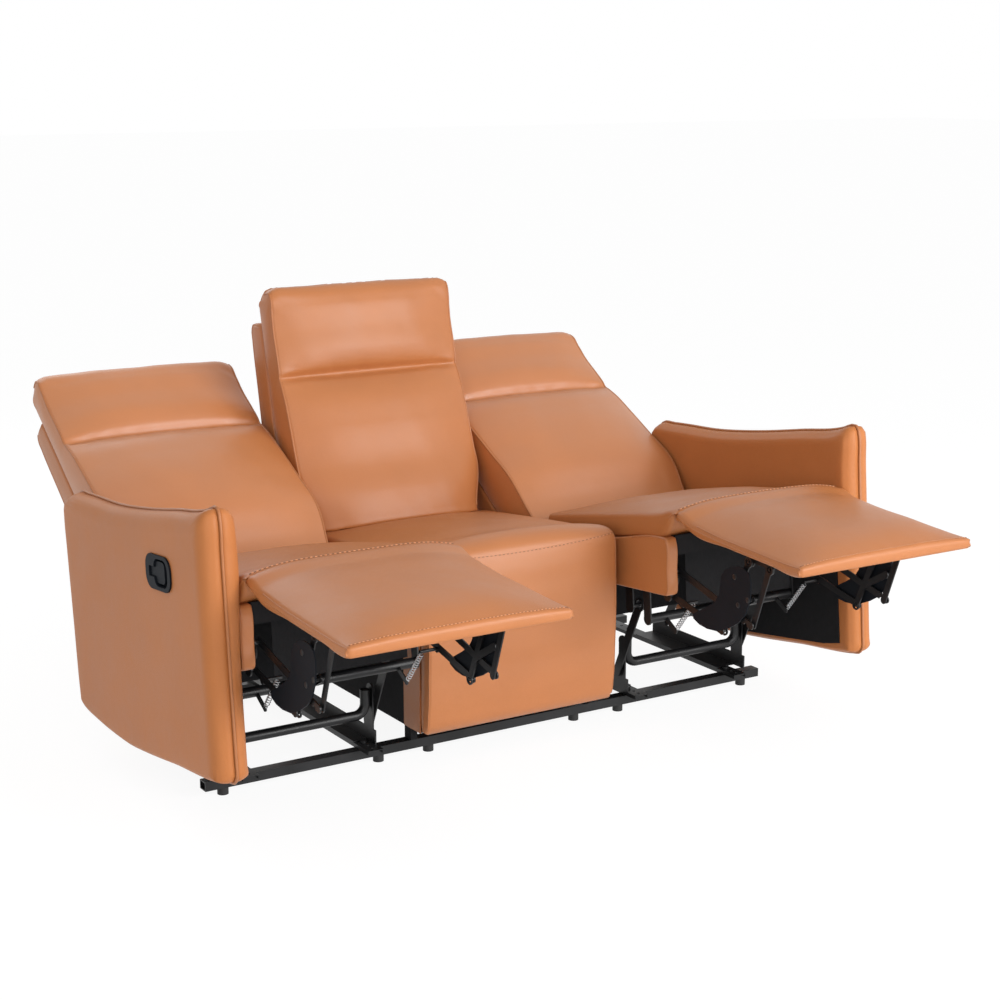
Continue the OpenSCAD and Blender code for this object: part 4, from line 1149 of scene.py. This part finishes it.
panel_low = deck_z(-28) - 143
rear_top = deck_z(470) - 48
SIDE_LINING = [(-16, panel_low), over_deck(-16, -8), over_deck(500, -8), (500, panel_low)], 229.4, 230.6
FRONT_LINING = upright(38, 40, 250, 393), -164, 164
REAR_LINING = upright(468, 470, rear_top - 190, rear_top), -176, 176
PAD_LINING = upright(BOARD_Y - 0.5, BOARD_Y + 0.12, 60, 428), -240, 240
ARM_LINING = [(-20, 98), (-16, 420), (680, 420), (684, 112), (623, 84), (434, 68), (312, 72), (167, 80),
              (40, 88)], -275.8, -272.6
WRAP = [(-64, 71.5), (14, 71.5), (14, 428), (-64, 436)], 267.6, 270.2


def cloth(name, cut, part, side, body, sign=1):
    """A flat sheet of black cloth, cut to an outline and riding on a body. Its width, depth and height are
    worked out, but not used."""
    piece = flat_sheet(name, cut, sign, part, side, CLOTH)
    outline, x0, x1 = cut
    y, z = np.array(outline, float).T / 1000
    wide, deep, tall = abs(x1 - x0) / 1000, float(np.ptp(y)), float(np.ptp(z))
    wide < deep
    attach(piece, body)


for word, side in SIDES.items():
    seat, frame_node = f"seat_{word}", [f"seat_frame_{word}"]
    for where, sign in (("inner", 1), ("outer", -1)):
        cloth(f"side_lining_{where}_{word}", SIDE_LINING, "seat", side, seat,
              sign)
    cloth(f"arm_lining_{word}", ARM_LINING, "seat", side, seat)
    cloth(f"footrest_lining_{word}", PAD_LINING, "foot", side, f"footrest_{word}")
    cloth(f"front_lining_{word}", FRONT_LINING, "seat", side, seat)
    cloth(f"rear_lining_{word}", REAR_LINING, "seat", side, seat)
    wrap = flat_sheet(f"middle_wrap_{word}", WRAP, side, "floor", 0, LEATHER_MAIN)
    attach(wrap, "base")
print("linings made")

# %% [markdown]
# ## Floor, backdrop and light
# The photograph was cut out on white. A pale floor that the camera sees as nearly white keeps a soft shadow,
# and three large soft lamps and a pale sky light the leather: the key from the front right, a weak fill from
# the front left and a rim lamp from behind.

# %% Studio
WHITE = (1, 1, 1, 1)
SKY_STRENGTH, FLOOR_GLOW, GLOW_SHARE = 0.54, 1.06, 0.86


def seen_directly(maker):
    """1 for rays that come from the camera, from a gloss or through something clear, and 0 for all others."""
    camera_ray, glossy_ray, clear_ray = (maker.node("ShaderNodeLightPath", out=f"Is {kind} Ray")
                                         for kind in ("Camera", "Glossy", "Transmission"))
    return maker.node("ShaderNodeMath", {0: camera_ray + glossy_ray + clear_ray, 1: 1.0}, operation="MINIMUM")


def floor_finish():
    f = Finish("studio_floor")
    glow = f.node("ShaderNodeEmission", {"Color": WHITE, "Strength": FLOOR_GLOW})
    f.done(Base_Color=(0.9, 0.9, 0.9, 1), Roughness=0.9)
    matt = Wire(f, f.shader.outputs[0])
    mixed = f.node("ShaderNodeMixShader", {0: seen_directly(f) * GLOW_SHARE, 1: matt, 2: glow})
    f.put(f.tree.nodes["Material Output"].inputs["Surface"], mixed)
    return f.material


floor_mesh = bpy.data.meshes.new("studio_floor")
floor_mesh.from_pydata([(-40, -40, 0), (40, -40, 0), (40, 40, 0), (-40, 40, 0)], [], [(0, 1, 2, 3)])
floor_mesh.materials.append(floor_finish())
floor = in_scene("studio_floor", floor_mesh)
floor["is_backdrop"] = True

world = bpy.data.worlds.new("studio_world")
world.use_nodes = True
bpy.context.scene.world = world
backdrop = Maker(world.node_tree)
sky = world.node_tree.nodes["Background"]
backdrop.put(sky.inputs["Color"], WHITE)
backdrop.put(sky.inputs["Strength"], SKY_STRENGTH)
white = backdrop.node("ShaderNodeBackground", {"Color": WHITE, "Strength": 1.0})
pale = Wire(backdrop, sky.outputs[0])
mixed = backdrop.node("ShaderNodeMixShader", {0: seen_directly(backdrop), 1: pale, 2: white})
backdrop.put(world.node_tree.nodes["World Output"].inputs["Surface"], mixed)


def lamp(name, at, towards, size, power):
    """A square area lamp at one point, turned towards another."""
    data = bpy.data.lights.new(name, "AREA")
    data.shape, data.size, data.energy = "SQUARE", size, power
    made = in_scene(name, data)
    made.location = at
    ray = np.array(towards, float) - np.array(at, float)
    flat = math.hypot(ray[0], ray[1])
    made.rotation_euler = (math.atan2(flat, -ray[2]), 0, math.atan2(ray[1], ray[0]) - math.pi / 2)


lamp("key", (2.3, -4.9, 1.9), (0.0, 0.0, 0.5), 3.2, 262)
lamp("fill", (-3.0, -4.2, 2.0), (-0.2, 0.0, 0.5), 2.4, 62)
lamp("rim", (-0.4, 3.4, 2.8), (0.0, 0.2, 0.6), 2.2, 24)
bpy.context.scene.view_settings.view_transform = "Standard"

# %% [markdown]
# ## Sizes
# The leather may stand a little proud of the plain solids. Both boxes are printed.

# %% Print sizes
full_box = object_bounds()
for name, box in (("cad", cad_box), ("visual", full_box)):
    print(name, [[round(v, 3) for v in p] for p in box])
